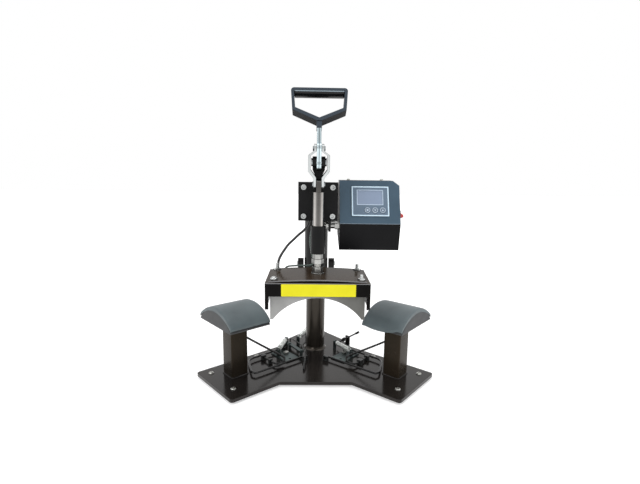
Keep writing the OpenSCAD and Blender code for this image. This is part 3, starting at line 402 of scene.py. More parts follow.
def bar_chrome():
    """Bright lever bar of two flat halves, with painted reflection bands by the side's turn, the dark seam
    between them and slate at its top.
    """
    f = Finish("bar_chrome")
    base = f.painted_bands(f.ramp(f.noise(35, detail=5), 0.25, 0.8, (0.42, 0.5, 0.53), (0.6, 0.7, 0.73)),
                    ((0, 1), (0.5, 1), (0.8, 0.3), (1, 0.2)))
    off = computed(f.tree, "ABSOLUTE", f.along(f.place, "X"))
    base = f.toned(base, f.ranged(off, 0.4 * MM, 0.8 * MM, 1, 0), (0.1, 0.13, 0.14))
    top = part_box("handle_frame")[0].z
    high = f.ranged(f.along(f.place, "Z"), top + 4.0 * MM, top + 4.4 * MM, 0, 1)
    f.colour(f.toned(base, high, (0.05, 0.065, 0.08)))
    f.rough(f.noise(300, detail=4), 0.12, 0.22)
    f.bump(f.noise(450, detail=3), 0.12, 0.1 * MM)
    f.set(metal=1)
    return f.material


def yellow_foil():
    """Plain yellow foil, slightly uneven and satin."""
    f = Finish("yellow_foil")
    f.colour(f.ramp(f.noise(30, detail=4), 0.3, 0.75, (0.74, 0.68, 0.012), (0.82, 0.76, 0.02)))
    f.rough(f.noise(200, detail=3), 0.3, 0.42)
    f.bump(f.noise(1200, detail=2), 0.1, 0.1 * MM)
    f.set(gloss=0.2)
    return f.material


def woven_sleeve():
    """Braided glass sleeve over the sensor's leads."""
    f = Finish("woven_sleeve")
    checker = f.add("ShaderNodeTexChecker")
    checker.inputs["Scale"].default_value = 900
    checker.inputs["Color1"].default_value = (0.05, 0.07, 0.063, 1)
    checker.inputs["Color2"].default_value = (0.11, 0.14, 0.125, 1)
    f.link(f.place, checker.inputs["Vector"])
    f.colour(checker.outputs["Color"])
    f.rough(f.noise(400, detail=3), 0.6, 0.8)
    f.bump(f.noise(1500, detail=2), 0.3, 0.2 * MM)
    return f.material


# Heights at which painted highlight lines start, just under the top of the cover and of the grip.
COVER_EDGE = (COVER_TOP - 1.3) * MM
GRIP_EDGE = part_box("handle_grip")[1].z - 1.7 * MM

# Enamels and coatings.
BLACK = enamel("black_enamel", (0.006, 0.0055, 0.0055), (0.011, 0.010, 0.009), gloss=0.15)
PILLAR = enamel("pillar_enamel", (0.012, 0.011, 0.010), (0.022, 0.018, 0.014), gloss=0.4,
                tint=(1, 0.88, 0.75))
POST = enamel("post_enamel", (0.010, 0.008, 0.006), (0.024, 0.018, 0.012), rough=0.24, gloss=0.16,
              tint=(1, 0.82, 0.62))
PLATE = enamel("base_enamel", (0.009, 0.008, 0.008), (0.019, 0.016, 0.014), rough=0.16, peel=0.1,
               gloss=0.3, tint=(1, 0.96, 0.94))
# Painted reflection: faces that look up turn brown. Painted highlight: a pale line along the cover's top
# edge.
COVER = enamel("cover_enamel", (0.005, 0.005, 0.0055), (0.009, 0.009, 0.009), rough=0.16, peel=0.1,
               gloss=0.03, tint=(1, 0.84, 0.7), turned=(0.5, 0.9, (0.034, 0.023, 0.015)),
               line=(COVER_EDGE, COVER_EDGE + 0.3 * MM, (0.22, 0.22, 0.23)))
CAST = enamel("casting_enamel", (0.005, 0.005, 0.0055), (0.010, 0.010, 0.010), rough=0.36, peel=0.35,
              gloss=0.12)
# Painted light and shade: faces that don't look down are slate, and faces that look down stay black.
FRAME = enamel("handle_enamel", (0.009, 0.009, 0.010), (0.014, 0.014, 0.015), rough=0.3, gloss=0.03,
               turned=(-0.5, -0.15, (0.05, 0.062, 0.076)))
# Painted highlight: a pale slate line along the top of the grip.
GRIP = enamel("grip_plastic", (0.004, 0.0045, 0.005), (0.007, 0.0075, 0.008), rough=0.16, peel=0.03,
              gloss=0.25, line=(GRIP_EDGE, GRIP_EDGE + 0.4 * MM, (0.26, 0.32, 0.36)))
SHELL = enamel("box_enamel", (0.004, 0.004, 0.0045), (0.007, 0.007, 0.008), rough=0.34, gloss=0.1)
CLIP = enamel("clip_enamel", (0.02, 0.021, 0.021), (0.04, 0.042, 0.042), rough=0.3, peel=0.2, gloss=0.4)
WIRE = enamel("coated_wire", (0.004, 0.004, 0.004), (0.008, 0.008, 0.008), rough=0.18, peel=0.3,
              gloss=0.35)
PLATEN = enamel("platen_coat", (0.05, 0.052, 0.055), (0.075, 0.077, 0.078), rough=0.5, peel=0.3)

# Plated and bare metals; their bands are painted reflection and shade by the side's turn.
ZINC = plated("zinc_plate", (0.5, 0.5, 0.48), (0.27, 0.27, 0.25), 0.26)
SCREW = plated("screw_zinc", (0.66, 0.67, 0.66), (0.2, 0.21, 0.21), 0.2, scale=160)
DULL = plated("dull_zinc", (0.11, 0.135, 0.135), (0.06, 0.075, 0.075), 0.4)
BRIGHT = plated("bright_chrome", (0.4, 0.43, 0.44), (0.22, 0.24, 0.25), 0.12,
                painted_reflection_bands=((0, 1), (0.6, 0.8), (1, 0.25)))
TURNED = plated("turned_chrome", (0.5, 0.48, 0.46), (0.36, 0.34, 0.32), 0.15, (0.1, 0.1, 1), 700,
                ((0, 0.22), (0.25, 0.26), (0.45, 0.5), (0.62, 1), (0.78, 0.8), (0.9, 0.2), (1, 0.12)))
NUT = plated("nut_zinc", (0.68, 0.68, 0.66), (0.26, 0.26, 0.25), 0.22,
             painted_reflection_bands=((0, 0.72), (0.5, 0.75), (0.86, 0.42), (1, 0.15)))
LINK = plated("link_nickel", (0.5, 0.52, 0.52), (0.38, 0.4, 0.4), 0.2,
              painted_reflection_bands=((0, 1), (0.25, 0.85), (0.6, 0.2), (1, 0.1)))
STEEL = plated("spring_steel", (0.85, 0.87, 0.85), (0.6, 0.62, 0.6), 0.28)
BRASS = plated("bearing_brass", (0.6, 0.45, 0.2), (0.45, 0.33, 0.14), 0.35)
BAR = bar_chrome()
ALUMINIUM = cast_aluminium()

# Plastics, rubbers, foils and inner pieces.
PAD = silicone_pad()
RUBBER = moulded("black_rubber", (0.012, 0.012, 0.012), (0.022, 0.022, 0.022), 0.6)
PLASTIC = moulded("black_plastic", (0.010, 0.010, 0.011), (0.02, 0.02, 0.021), 0.4)
PANEL = panel_paint()
BEZEL_FOIL = moulded("bezel_foil", (0.1, 0.145, 0.2), (0.14, 0.19, 0.25), 0.3, depth=0.1 * MM, gloss=0.3)
DISPLAY = lcd_glass()
KEY = moulded("key_cap", (0.1, 0.14, 0.19), (0.13, 0.175, 0.23), 0.3)
KEY_RING = moulded("key_ring", (0.42, 0.5, 0.6), (0.52, 0.6, 0.7), 0.3)
BORDER = moulded("bezel_border", (0.55, 0.7, 0.82), (0.62, 0.77, 0.88), 0.28)
DISPLAY_FRAME = moulded("display_frame", (0.4, 0.5, 0.62), (0.46, 0.56, 0.68), 0.2)
RED = moulded("rocker_red", (0.5, 0.01, 0.008), (0.62, 0.02, 0.012), 0.22, depth=0.1 * MM, gloss=0.6,
              coat=0.4)
YELLOW = yellow_foil()
CABLE = moulded("cable_sheath", (0.008, 0.008, 0.008), (0.016, 0.016, 0.016), 0.36)
SLEEVE = woven_sleeve()
FELT = moulded("ceramic_felt", (0.6, 0.58, 0.52), (0.75, 0.73, 0.68), 0.9, grain=300, depth=0.6 * MM)
MICA = moulded("mica_sheet", (0.35, 0.29, 0.2), (0.5, 0.42, 0.3), 0.35)
BOARD = moulded("board_green", (0.01, 0.12, 0.05), (0.02, 0.2, 0.08), 0.4)
RELAY = moulded("relay_blue", (0.02, 0.08, 0.25), (0.03, 0.12, 0.32), 0.35)

# Which finish each CAD node has, and how wide its broken edges are in millimetres.
# Nodes with a width of 0 are modelled on their own further down.
NODE_FINISH = {
    "base_plate": (PLATE, 0.9), "rubber_feet": (RUBBER, 0.4), "plate_screws": (ZINC, 0.2),
    "pillar": (PILLAR, 0.3), "stop_collar": (BLACK, 0.8), "stop_bolts": (SCREW, 0.3),
    "platen_posts": (POST, 0.5), "platen_bodies": (PLATEN, 0.6), "platen_screws": (STEEL, 0.2),
    "station_brackets": (DULL, 0.3), "wire_clips": (CLIP, 0.5), "lever_upright": (BLACK, 0.4),
    "lever_wire": (WIRE, 0.2), "swing_sleeve": (BLACK, 0.7), "sleeve_bearings": (BRASS, 0.1),
    "pillar_cap": (PLASTIC, 0.3), "head_arm": (BLACK, 0.8), "clamp_casting": (CAST, 0.8),
    "casting_screws": (SCREW, 0.3), "guide_liner": (BRASS, 0.1), "main_pin": (BRIGHT, 0.4),
    "lever_bar": (BAR, 0.6), "handle_frame": (FRAME, 0.6), "toggle_links": (LINK, 0.7),
    "link_pins": (BRIGHT, 0.3), "plunger": (TURNED, 0.4), "adjusting_stud": (ZINC, 0.2),
    "adjusting_nuts": (NUT, 0.4), "press_plate": (COVER, 0.3), "heater_cover": (COVER, 0.7),
    "cover_bolts": (SCREW, 0.3), "insulation_pad": (FELT, 0.5), "heating_element": (MICA, 0.1),
    "heater_block": (ALUMINIUM, 0.5), "temperature_sensor": (STEEL, 0.1),
    "control_box": (SHELL, 0.7), "control_panel": (PANEL, 0.5), "panel_bezel": (BEZEL_FOIL, 0.4),
    "display_window": (DISPLAY, 0.1), "set_key": (KEY, 0.4), "down_key": (KEY, 0.4),
    "up_key": (KEY, 0.4), "panel_screws": (ZINC, 0.2), "circuit_board": (BOARD, 0.05),
    "relay_block": (RELAY, 0.3), "power_inlet": (PLASTIC, 0.3), "switch_housing": (PLASTIC, 0.3),
    "power_rocker": (RED, 0), "box_studs": (NUT, 0.3), "cable_grommets": (RUBBER, 0.2),
    "guard_wire": (WIRE, 0), "left_bail": (WIRE, 0), "right_bail": (WIRE, 0),
    "left_hook": (WIRE, 0), "right_hook": (WIRE, 0), "station_springs": (STEEL, 0),
    "platen_pads": (PAD, 0), "handle_grip": (GRIP, 0), "heater_cable": (CABLE, 0),
    "sensor_wire": (SLEEVE, 0),
}

# Angles in degrees at which faces stop being shaded as one, are merged as flat, or get a broken edge.
SMOOTH_BELOW = 32
FLAT_BELOW = 0.6
HARD_EDGE = 38
TRIM_EDGE = 50
ROCKER_EDGE = 30
SAME_POINT = 0.001 * MM
WIRE_SIDES = 14


def body_of(node):
    return frame["nodes"][node]["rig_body"]


def new_piece(name, mesh, material, body):
    """A smooth-shaded object; a body of None is for a piece that is blended between two."""
    piece = bpy.data.objects.new(name, mesh)
    bpy.context.scene.collection.objects.link(piece)
    mesh.materials.clear()
    mesh.materials.append(material)
    mesh.shade_smooth()
    mesh.set_sharp_from_angle(angle=math.radians(SMOOTH_BELOW))
    if body:
        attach(piece, body)
    return piece


def break_edges(piece, width, angle):
    bevel = piece.modifiers.new("edges", "BEVEL")
    bevel.width = width * MM
    bevel.segments = 2
    bevel.limit_method = "ANGLE"
    bevel.angle_limit = math.radians(angle)
    return bevel


def built(work, name, outward=False):
    """The mesh of what was built, with its faces turned outward where asked."""
    if outward:
        bmesh.ops.recalc_face_normals(work, faces=work.faces)
    mesh = bpy.data.meshes.new(name)
    work.to_mesh(mesh)
    work.free()
    return mesh


def bridge(work, rings):
    """Walls between rings of as many corners each, and a face over either end."""
    for first, second in zip(rings, rings[1:]):
        count = len(first)
        for k in range(count):
            m = (k + 1) % count
            work.faces.new((first[k], first[m], second[m], second[k]))
    work.faces.new(list(reversed(rings[0])))
    work.faces.new(rings[-1])


def joined(name, meshes, material, body):
    work = bmesh.new()
    for mesh in meshes:
        work.from_mesh(mesh)
    return new_piece(name, built(work, name), material, body)


def softened(node, material, edge):
    """A copy of a CAD node with clean faces and finely broken edges."""
    mesh = frame["nodes"][node].data.copy()
    work = bmesh.new()
    work.from_mesh(mesh)
    bmesh.ops.remove_doubles(work, verts=work.verts, dist=SAME_POINT)
    bmesh.ops.dissolve_limit(
        work, angle_limit=math.radians(FLAT_BELOW), verts=work.verts, edges=work.edges)
    work.to_mesh(mesh)
    work.free()
    for layer in list(mesh.attributes):
        if layer.name in ("custom_normal", "sharp_face", "sharp_edge"):
            mesh.attributes.remove(layer)
    piece = new_piece(node + "_look", mesh, material, body_of(node))
    break_edges(piece, edge, HARD_EDGE).harden_normals = True
    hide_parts(node)


def sweep(points, radius, sides):
    """A round tube of constant radius along a list of points, closed at both ends."""
    work = bmesh.new()
    last = len(points) - 1
    heading = [(points[min(i + 1, last)] - points[max(i - 1, 0)]).normalized() for i in range(last + 1)]
    across = heading[0].orthogonal().normalized()
    rings = []
    for i, p in enumerate(points):
        across = (across - across.dot(heading[i]) * heading[i]).normalized()
        third = heading[i].cross(across)
        rings.append([
            work.verts.new(p + radius * (math.cos(a) * across + math.sin(a) * third))
            for a in [math.tau * k / sides for k in range(sides)]])
    bridge(work, rings)
    return built(work, "tube")


def smooth_path(points, steps):
    """A curve through the given points, with each stretch cut into steps."""
    made = []
    for i in range(len(points) - 1):
        a = points[max(i - 1, 0)]
        b = points[i]
        c = points[i + 1]
        d = points[min(i + 2, len(points) - 1)]
        for k in range(steps):
            t = k / steps
            made.append(0.5 * (2 * b + (c - a) * t + (2 * a - 5 * b + 4 * c - d) * t ** 2
                               + (3 * b - a - 3 * c + d) * t ** 3))
    made.append(points[-1])
    return made


# Free cable and sensor wire: the same points as in the part's source.
CABLE_POINTS = [at(*p) for p in [
    (-14, -110, 309), (-14, -110, 303), (-15, -110, 298), (-18, -111, 290), (-24, -114, 282),
    (-33, -119, 275), (-42, -125, 267), (-51, -131, 259), (-58, -136, 250), (-64, -140, 241),
    (-68, -142, 232), (-69, -143, 224), (-69, -143, 215), (-69, -144, 210.5), (-69, -146, 207.3),
    (-69, -149, 206), (-69, -153, 206)]]
SENSOR_POINTS = [at(*p) for p in [
    (-6, -140, 309), (-6, -140, 303), (-7, -140, 296), (-11, -140, 284), (-13, -141, 270),
    (-12, -142, 255), (-9, -143, 241), (-6.5, -143.5, 231), (-8, -144, 226), (-14, -144.5, 223.6),
    (-30, -144.5, 223), (-42, -144.5, 222.5), (-51, -144.5, 221.5), (-55.5, -144.5, 218.5),
    (-57, -144.5, 213), (-57, -145.6, 209), (-57, -148.4, 207), (-57, -153, 207)]]
CABLE_RADIUS = 2.3 * MM
SENSOR_RADIUS = 1.5 * MM
CORD_STEPS = 5


def make_cord(name, points, radius, material, node):
    path = smooth_path(points, CORD_STEPS)
    piece = new_piece(name, sweep(path, radius, WIRE_SIDES), material, None)
    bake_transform(piece, "head", "plunger_group", start=path[8], end=path[-10])
    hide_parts(node)


make_cord("heater_cable_look", CABLE_POINTS, CABLE_RADIUS, CABLE, "heater_cable")
make_cord("sensor_wire_look", SENSOR_POINTS, SENSOR_RADIUS, SLEEVE, "sensor_wire")

# Every node with its own finish, and the hard ones with broken edges.
for node, (material, edge) in NODE_FINISH.items():
    target = frame["nodes"][node]
    target.data.materials.clear()
    target.data.materials.append(material)
    if edge > 0:
        softened(node, material, edge)

# Station wires, smooth where the solids are faceted: along, across, height.
BAIL = [(62, 33.5), (62, 27), (62.6, 24.8), (65, 24), (100, 24), (138, 24), (148, 22.5), (156, 17.5),
        (161.5, 9), (170, -9), (176.5, -23), (177.5, -28), (175.5, -32.2), (171, -34.5), (120, -34.5),
        (65, -34.5), (62.6, -35.3), (62, -37.5), (62, -44)]
HOOK = [(124, 19, 16), (124, 6, 16), (124, -19, 16), (123, -25, 16), (119.5, -28.8, 16), (113, -30, 16),
        (107, -29.5, 17), (103, -27.5, 19), (102, -25, 21.5), (104, -22.5, 24.5), (108, -20.5, 27.8),
        (135, -11.5, 47), (160, -3.5, 65.5), (172.5, 0.5, 75)]
GUARD = [(33, 46, 10), (33, 46, 18), (34, 43.5, 23.5), (37, 20, 24.5), (41, -5, 24.5), (51, -25, 24),
         (60, -40, 24), (74, -56, 21.5), (86, -68, 18), (91.4, -73.4, 15), (92, -74, 13), (92, -74, 10)]
STATION_WIRE = 1.97
GUARD_WIRE = 1.5
WIRE_STEPS = 3
HOOK_PIVOT = 124
HOOK_DROP = math.radians(5)


def lowered(points, turn):
    """The hook's points, turned down about its pivot."""
    return [(HOOK_PIVOT + (l - HOOK_PIVOT) * math.cos(turn) + (z - WIRE_HIGH) * math.sin(turn), q,
             WIRE_HIGH + (z - WIRE_HIGH) * math.cos(turn) - (l - HOOK_PIVOT) * math.sin(turn))
            for l, q, z in points]


def station_wire(name, side, points, radius, node):
    path = smooth_path([arm_point(side, *p) for p in points], WIRE_STEPS)
    tube = sweep(path, radius * MM, WIRE_SIDES)
    piece = new_piece(name, tube, WIRE, body_of(node))
    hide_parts(node)


for side, word in ((1, "right"), (-1, "left")):
    station_wire(word + "_bail_look", side, [(*p, WIRE_HIGH) for p in BAIL], STATION_WIRE, word + "_bail")
    hook = lowered(HOOK, HOOK_DROP) if side > 0 else HOOK
    station_wire(word + "_hook_look", side, hook, STATION_WIRE, word + "_hook")
station_wire("guard_wire_look", -1, GUARD, GUARD_WIRE, "guard_wire")

# Coil springs: side, the two anchor points along and across the arm, and the height.
SPRINGS = [(1, (38.4, 20.5), (93, 5.1), 24), (-1, (47.6, 40.2), (95.1, 4.5), 27),
           (-1, (-24, 56.7), (25, 27.8), 27)]
CURLS = 20
CURL_PITCH = 2.05
CURL_RADIUS = 4.2
CURL_WIRE = 0.6
CURL_CUTS = 24
CURL_SIDES = 10
# Straight end of a spring, from its tip to the coil: the tail ends short of the anchor by the first
# number, and reaches past its own end by the other two.
TAIL_SHORT = 1.6
TAIL_NECK = 2.4
TAIL_TIP = 4
# The crook between the tail and the coil: before the coil, to its side, and away from its middle.
CROOK = ((3.2, 0, 0), (2, 0.5, 0.6), (1.1, 2, 1.4))


def spring_mesh(side, start, end, height):
    a = arm_point(side, *start, height)
    b = arm_point(side, *end, height)
    along = (b - a).normalized()
    up = Vector((0, 0, 1))
    level = up.cross(along) * side
    coil = CURLS * CURL_PITCH
    lead = ((b - a).length / MM - coil) / 2
    tail = lead - TAIL_SHORT

    def place(x, y, z):
        return a + ((x + lead) * along + y * level + z * up) * MM

    path = [place(-tail - reach, 0, 0) for reach in (TAIL_TIP, TAIL_NECK)]
    path += [place(-x, y, -z) for x, y, z in CROOK]
    cuts = CURLS * CURL_CUTS
    for i in range(cuts + 1):
        angle = math.tau * i / CURL_CUTS
        path.append(place(coil * i / cuts, CURL_RADIUS * math.cos(angle), CURL_RADIUS * math.sin(angle)))
    path += [place(coil + x, y, z) for x, y, z in reversed(CROOK)]
    path += [place(coil + tail + reach, 0, 0) for reach in (TAIL_NECK, TAIL_TIP)]
    return sweep(path, CURL_WIRE * MM, CURL_SIDES)


springs = joined("station_springs_look", [spring_mesh(*s) for s in SPRINGS], STEEL, "base")
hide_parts("station_springs")

# Silicone pads: an arched mat that swells a little between its edges, in millimetres.
PAD_ROWS, PAD_COLS = 28, 44
# The swell, and how far from the ends and from the sides it is full.
SWELL, SWELL_FROM_END, SWELL_FROM_SIDE = 0.35, 12, 10
# The rounded rim: how wide it is, and its drop at the ends and at the sides.
RIM_WIDE, RIM_END, RIM_SIDE = 1.8, 1.4, 1.2
# The mat's depth, a little less than the pad's, and the margin kept inside the platen's sides.
MAT_DEEP = PAD_THICK - 0.4
MAT_MARGIN = 0.05
# Dent at the lip's inner corner: its depth, its share of the length, the share of the arch at which
# it ends, and the share over which it fades.
DENT_DEEP, DENT_LONG, DENT_END, DENT_FADE = 2.4, 0.16, 0.34, 0.3
# Drooping lip: its share of the arch, how far out and down it hangs, and its course along the edge.
LIP_SHARE, LIP_OUT, LIP_DOWN = 0.12, 2.4, 6.5
LIP_LONG, LIP_START, LIP_ROUND = 0.9, 0.04, 0.6


def pad_mesh(side, lip):
    """Grid of the mat in (along, around) with a rounded rim; a lip droops at its front edge."""
    work = bmesh.new()
    half_angle = math.asin(PLATEN_HALF / PAD_RADIUS)
    inner = STATION_REACH - PLATEN_LONG / 2
    side_limit = PLATEN_HALF - MAT_MARGIN

    def place(u, v, depth):
        along = inner + PLATEN_LONG * u
        angle = half_angle * (2 * v - 1)
        end_edge = min(u, 1 - u) * PLATEN_LONG
        side_edge = min(v, 1 - v) * 2 * half_angle * PAD_RADIUS
        swell = SWELL * min(end_edge / SWELL_FROM_END, 1) * min(side_edge / SWELL_FROM_SIDE, 1) - SWELL
        rim = (RIM_END * (1 - min(end_edge / RIM_WIDE, 1)) ** 2
               + RIM_SIDE * (1 - min(side_edge / RIM_WIDE, 1)) ** 2)
        radius = PAD_RADIUS + swell - rim - depth
        if lip:
            dent = max(0, 1 - u / DENT_LONG) * max(0, min(1, (DENT_END - v) / DENT_FADE))
            radius -= DENT_DEEP * dent * dent
        across = max(-side_limit, min(side_limit, PAD_RADIUS * math.sin(angle)))
        high = PAD_AXIS + radius * math.cos(angle)
        if lip:
            course = math.sin(math.pi * min(1, u / LIP_LONG + LIP_START)) ** LIP_ROUND
            droop = course * max(0, 1 - v / LIP_SHARE)
            across -= LIP_OUT * droop
            high -= LIP_DOWN * droop
        return arm_point(side, along, across, high)

    top, low = ([[work.verts.new(place(i / PAD_ROWS, j / PAD_COLS, depth)) for j in range(PAD_COLS + 1)]
                 for i in range(PAD_ROWS + 1)] for depth in (0, MAT_DEEP))
    for i in range(PAD_ROWS):
        for j in range(PAD_COLS):
            work.faces.new((top[i][j], top[i + 1][j], top[i + 1][j + 1], top[i][j + 1]))
            work.faces.new((low[i][j], low[i][j + 1], low[i + 1][j + 1], low[i + 1][j]))
    for i in range(PAD_ROWS):
        work.faces.new((top[i][0], low[i][0], low[i + 1][0], top[i + 1][0]))
        work.faces.new((top[i][-1], top[i + 1][-1], low[i + 1][-1], low[i][-1]))
    for j in range(PAD_COLS):
        work.faces.new((top[0][j], top[0][j + 1], low[0][j + 1], low[0][j]))
        work.faces.new((top[-1][j], low[-1][j], low[-1][j + 1], top[-1][j + 1]))
    return built(work, "pad", outward=True)


pads = joined("platen_pads_look", [pad_mesh(1, True), pad_mesh(-1, False)], PAD, "base")
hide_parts("platen_pads")

# Handle grip, from the strap's underside: half its depth, its trough's sink and depth, and its lips'
# rise; then how far all of it is let down, and its share of the section at either end.
GRIP_HALF, TROUGH_SINK, TROUGH_DEEP, GRIP_LIP = 10, 1.1, 5, 2.4
GRIP_DROP, GRIP_NARROWED = 0.1, 0.92
GRIP_STATIONS = (-1, -0.985, -0.95, -0.5, 0, 0.5, 0.95, 0.985, 1)
TROUGH_CUTS = 12


def grip_mesh():
    """Rounded trough section drawn across the strap and carried between the side straps."""
    low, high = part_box("handle_grip")
    half = (high.x - low.x) / 2
    section = [(-GRIP_HALF, GRIP_LIP)]
    for k in range(TROUGH_CUTS + 1):
        angle = math.pi + math.pi * k / TROUGH_CUTS
        section.append((GRIP_HALF * math.cos(angle), -TROUGH_SINK + TROUGH_DEEP * math.sin(angle)))
    section.append((GRIP_HALF, GRIP_LIP))
    work = bmesh.new()
    rings = []
    for s in GRIP_STATIONS:
        shrink = GRIP_NARROWED if abs(s) == 1 else 1
        ring = []
        for depth, rise in section:
            t = FRAME_TOP - STRAP_THICK + rise * (shrink if rise < 0 else 1)
            depth *= shrink
            y = -HEAD_REACH + math.sin(HANDLE_LEAN) * t + math.cos(HANDLE_LEAN) * depth
            z = PIVOT_HIGH + math.cos(HANDLE_LEAN) * t - math.sin(HANDLE_LEAN) * depth
            p = at(0, y, z - GRIP_DROP)
            p.x = s * half
            ring.append(work.verts.new(p))
        rings.append(ring)
    bridge(work, rings)
    return built(work, "grip", outward=True)


grip = new_piece("handle_grip_look", grip_mesh(), GRIP, "handle")
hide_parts("handle_grip")


# Thin plates and rings. Their place function gives the plane, and its third value is the depth.
def rounded_corners(x0, y0, x1, y1, radius, steps=5):
    corners = [(x1 - radius, y0 + radius, -90), (x1 - radius, y1 - radius, 0),
               (x0 + radius, y1 - radius, 90), (x0 + radius, y0 + radius, 180)]
    return [(cx + radius * math.cos(math.radians(start + 90 * k / steps)),
             cy + radius * math.sin(math.radians(start + 90 * k / steps)))
            for cx, cy, start in corners for k in range(steps + 1)]


def circle_points(x, y, radius, steps=40):
    return [(x + radius * math.cos(math.tau * k / steps), y + radius * math.sin(math.tau * k / steps))
            for k in range(steps)]


def thin_piece(name, place, outer, inner, back, front, material, body, soften=0.12):
    """A thin plate with the outer outline, or a ring where an inner one of as many points is given."""
    work = bmesh.new()
    n = len(outer)
    back_out = [work.verts.new(place(x, y, back)) for x, y in outer]
    front_out = [work.verts.new(place(x, y, front)) for x, y in outer]
    for k in range(n):
        m = (k + 1) % n
        work.faces.new((back_out[k], back_out[m], front_out[m], front_out[k]))
    if inner:
        back_in = [work.verts.new(place(x, y, back)) for x, y in inner]
        front_in = [work.verts.new(place(x, y, front)) for x, y in inner]
        for k in range(n):
            m = (k + 1) % n
            work.faces.new((front_out[k], front_out[m], front_in[m], front_in[k]))
            work.faces.new((front_in[k], front_in[m], back_in[m], back_in[k]))
            work.faces.new((back_in[k], back_in[m], back_out[m], back_out[k]))
    else:
        work.faces.new(front_out)
        work.faces.new(back_out)
    piece = new_piece(name, built(work, name, outward=True), material, body)
    break_edges(piece, soften, TRIM_EDGE)


def on_panel(x, high, depth):
    """A point on the sloping panel; depth grows towards the front."""
    return at(x, PANEL_FOOT[0] + math.sin(PANEL_TILT) * high - math.cos(PANEL_TILT) * depth,
              PANEL_FOOT[1] + math.cos(PANEL_TILT) * high + math.sin(PANEL_TILT) * depth)


def on_cover(x, high, depth):
    """A point on the cover's front; depth grows towards the front."""
    return at(x, -HEAD_REACH - COVER_HALF_DEEP - depth, high)


def panel_ring(name, box, outside, inside, radii, back, front, material):
    """A flat ring along a box on the panel, from outside of its edge to inside of it."""
    x, y, wide, high = box
    outer = rounded_corners(x - outside, y - outside, x + wide + outside, y + high + outside, radii[0])
    inner = rounded_corners(x + inside, y + inside, x + wide - inside, y + high - inside, radii[1])
    thin_piece(name, on_panel, outer, inner, back, front, material, "head")


# Plain yellow plate on the cover's front: its outline, and how deep its back and front stand.
YELLOW_OUTLINE = rounded_corners(-57, 195.9, 59.5, 215.6, 1.2)
YELLOW_BACK, YELLOW_FRONT = -0.05, 0.35
thin_piece("yellow_plate", on_cover, YELLOW_OUTLINE, None, YELLOW_BACK, YELLOW_FRONT, YELLOW,
           "plunger_group")

# Pale border of the bezel, and frame of the display.
RING_BACK, BORDER_FRONT, FRAME_FRONT = 1.7, 2.2, 2.0
panel_ring("bezel_border", BEZEL, 0, 2.1, (1.2, 0.8), RING_BACK, BORDER_FRONT, BORDER)
panel_ring("display_frame", LCD, 1.3, 0.1, (1, 0.5), RING_BACK, FRAME_FRONT, DISPLAY_FRAME)

# Rings and marks on the three keys: a square, and triangles that point down and up.
KEY_FACE = 2.75
RING_OUT, RING_IN, RING_FRONT = KEY_RADIUS - 0.2, KEY_RADIUS - 1.1, 2.95
MARK_HALF, MARK_FOOT, MARK_TIP, MARK_FRONT = 1.8, 1.1, 1.7, 2.9
SQUARE_HALF, SQUARE_CORNER = 1.5, 0.4
for x, button, mark in zip(KEY_ROW, ("set_button", "down_button", "up_button"), (None, -1, 1)):
    thin_piece(button + "_ring", on_panel, circle_points(x, KEY_HIGH, RING_OUT),
               circle_points(x, KEY_HIGH, RING_IN), KEY_FACE, RING_FRONT, KEY_RING, button, 0.06)
    if mark:
        foot = KEY_HIGH - MARK_FOOT * mark
        sign = [(x - MARK_HALF, foot), (x + MARK_HALF, foot), (x, KEY_HIGH + MARK_TIP * mark)]
    else:
        sign = rounded_corners(x - SQUARE_HALF, KEY_HIGH - SQUARE_HALF, x + SQUARE_HALF,
                               KEY_HIGH + SQUARE_HALF, SQUARE_CORNER)
    thin_piece(button + "_mark", on_panel, sign, None, KEY_FACE, MARK_FRONT, KEY_RING, button, 0.05)

# Rocker that stands out of the switch on the box's side: out from the box and up, in millimetres.
ROCKER_OUTLINE = [(-4.5, -4), (-0.6, -5.2), (3.8, -4.6), (6.6, -3.6), (7.2, -2.2), (6.6, 0.8), (4.4, 2.2),
                  (1.4, 5), (-0.6, 5.2), (-4.5, 4)]


def rocker_mesh():
    low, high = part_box("power_rocker")
    middle = at(BOX_RIGHT, 0, ROCKER_HIGH)
    work = bmesh.new()
    bridge(work, [[work.verts.new((middle.x + x * MM, y, middle.z + z * MM)) for x, z in ROCKER_OUTLINE]
                  for y in (low.y, high.y)])
    return built(work, "rocker", outward=True)


rocker = new_piece("power_rocker_look", rocker_mesh(), RED, body_of("power_rocker"))
break_edges(rocker, 0.5, ROCKER_EDGE)
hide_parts("power_rocker")


# Threaded ends and one domed end over the cover's nuts.
def turned_mesh(spot, profile, sides=20):
    """A solid turned about an upright axis through the spot, from radii and heights."""
    work = bmesh.new()
    bridge(work, [[work.verts.new(spot + MM * Vector((r * math.cos(math.tau * k / sides),
                                                      r * math.sin(math.tau * k / sides), z)))
                   for k in range(sides)] for r, z in profile])
    return built(work, "turned")


def thread_profile(length, radius=2.9, pitch=1.0, depth=0.35):
    """Radii and heights of a thread's crests and roots, with a chamfered end."""
    profile = []
    for k in range(int(length / pitch)):
        profile += [(radius - depth, k * pitch), (radius, (k + 0.35) * pitch), (radius, (k + 0.65) * pitch)]
    return profile + [(radius - depth, length), (radius - 2 * depth, length + 0.5)]


DOME = [(5.0, 0), (4.9, 0.6), (4.2, 1.5), (2.9, 2.2), (1.3, 2.5)]
BOLT_ENDS = ((-1, 1, thread_profile(9)), (1, 1, thread_profile(8)), (1, -1, thread_profile(6)),
             (-1, -1, DOME))
ends = [turned_mesh(at(x * BOLT_ACROSS, -HEAD_REACH + y * BOLT_DEEP, NUT_TOP), profile)
        for x, y, profile in BOLT_ENDS]
joined("bolt_ends", ends, SCREW, body_of("cover_bolts"))

# Weld beads round the feet of the posts.
BEAD_RADIUS, BEAD_CORNER, BEAD_OUT, BEAD_RISE = 1.5, 3.4, 0.5, 0.7


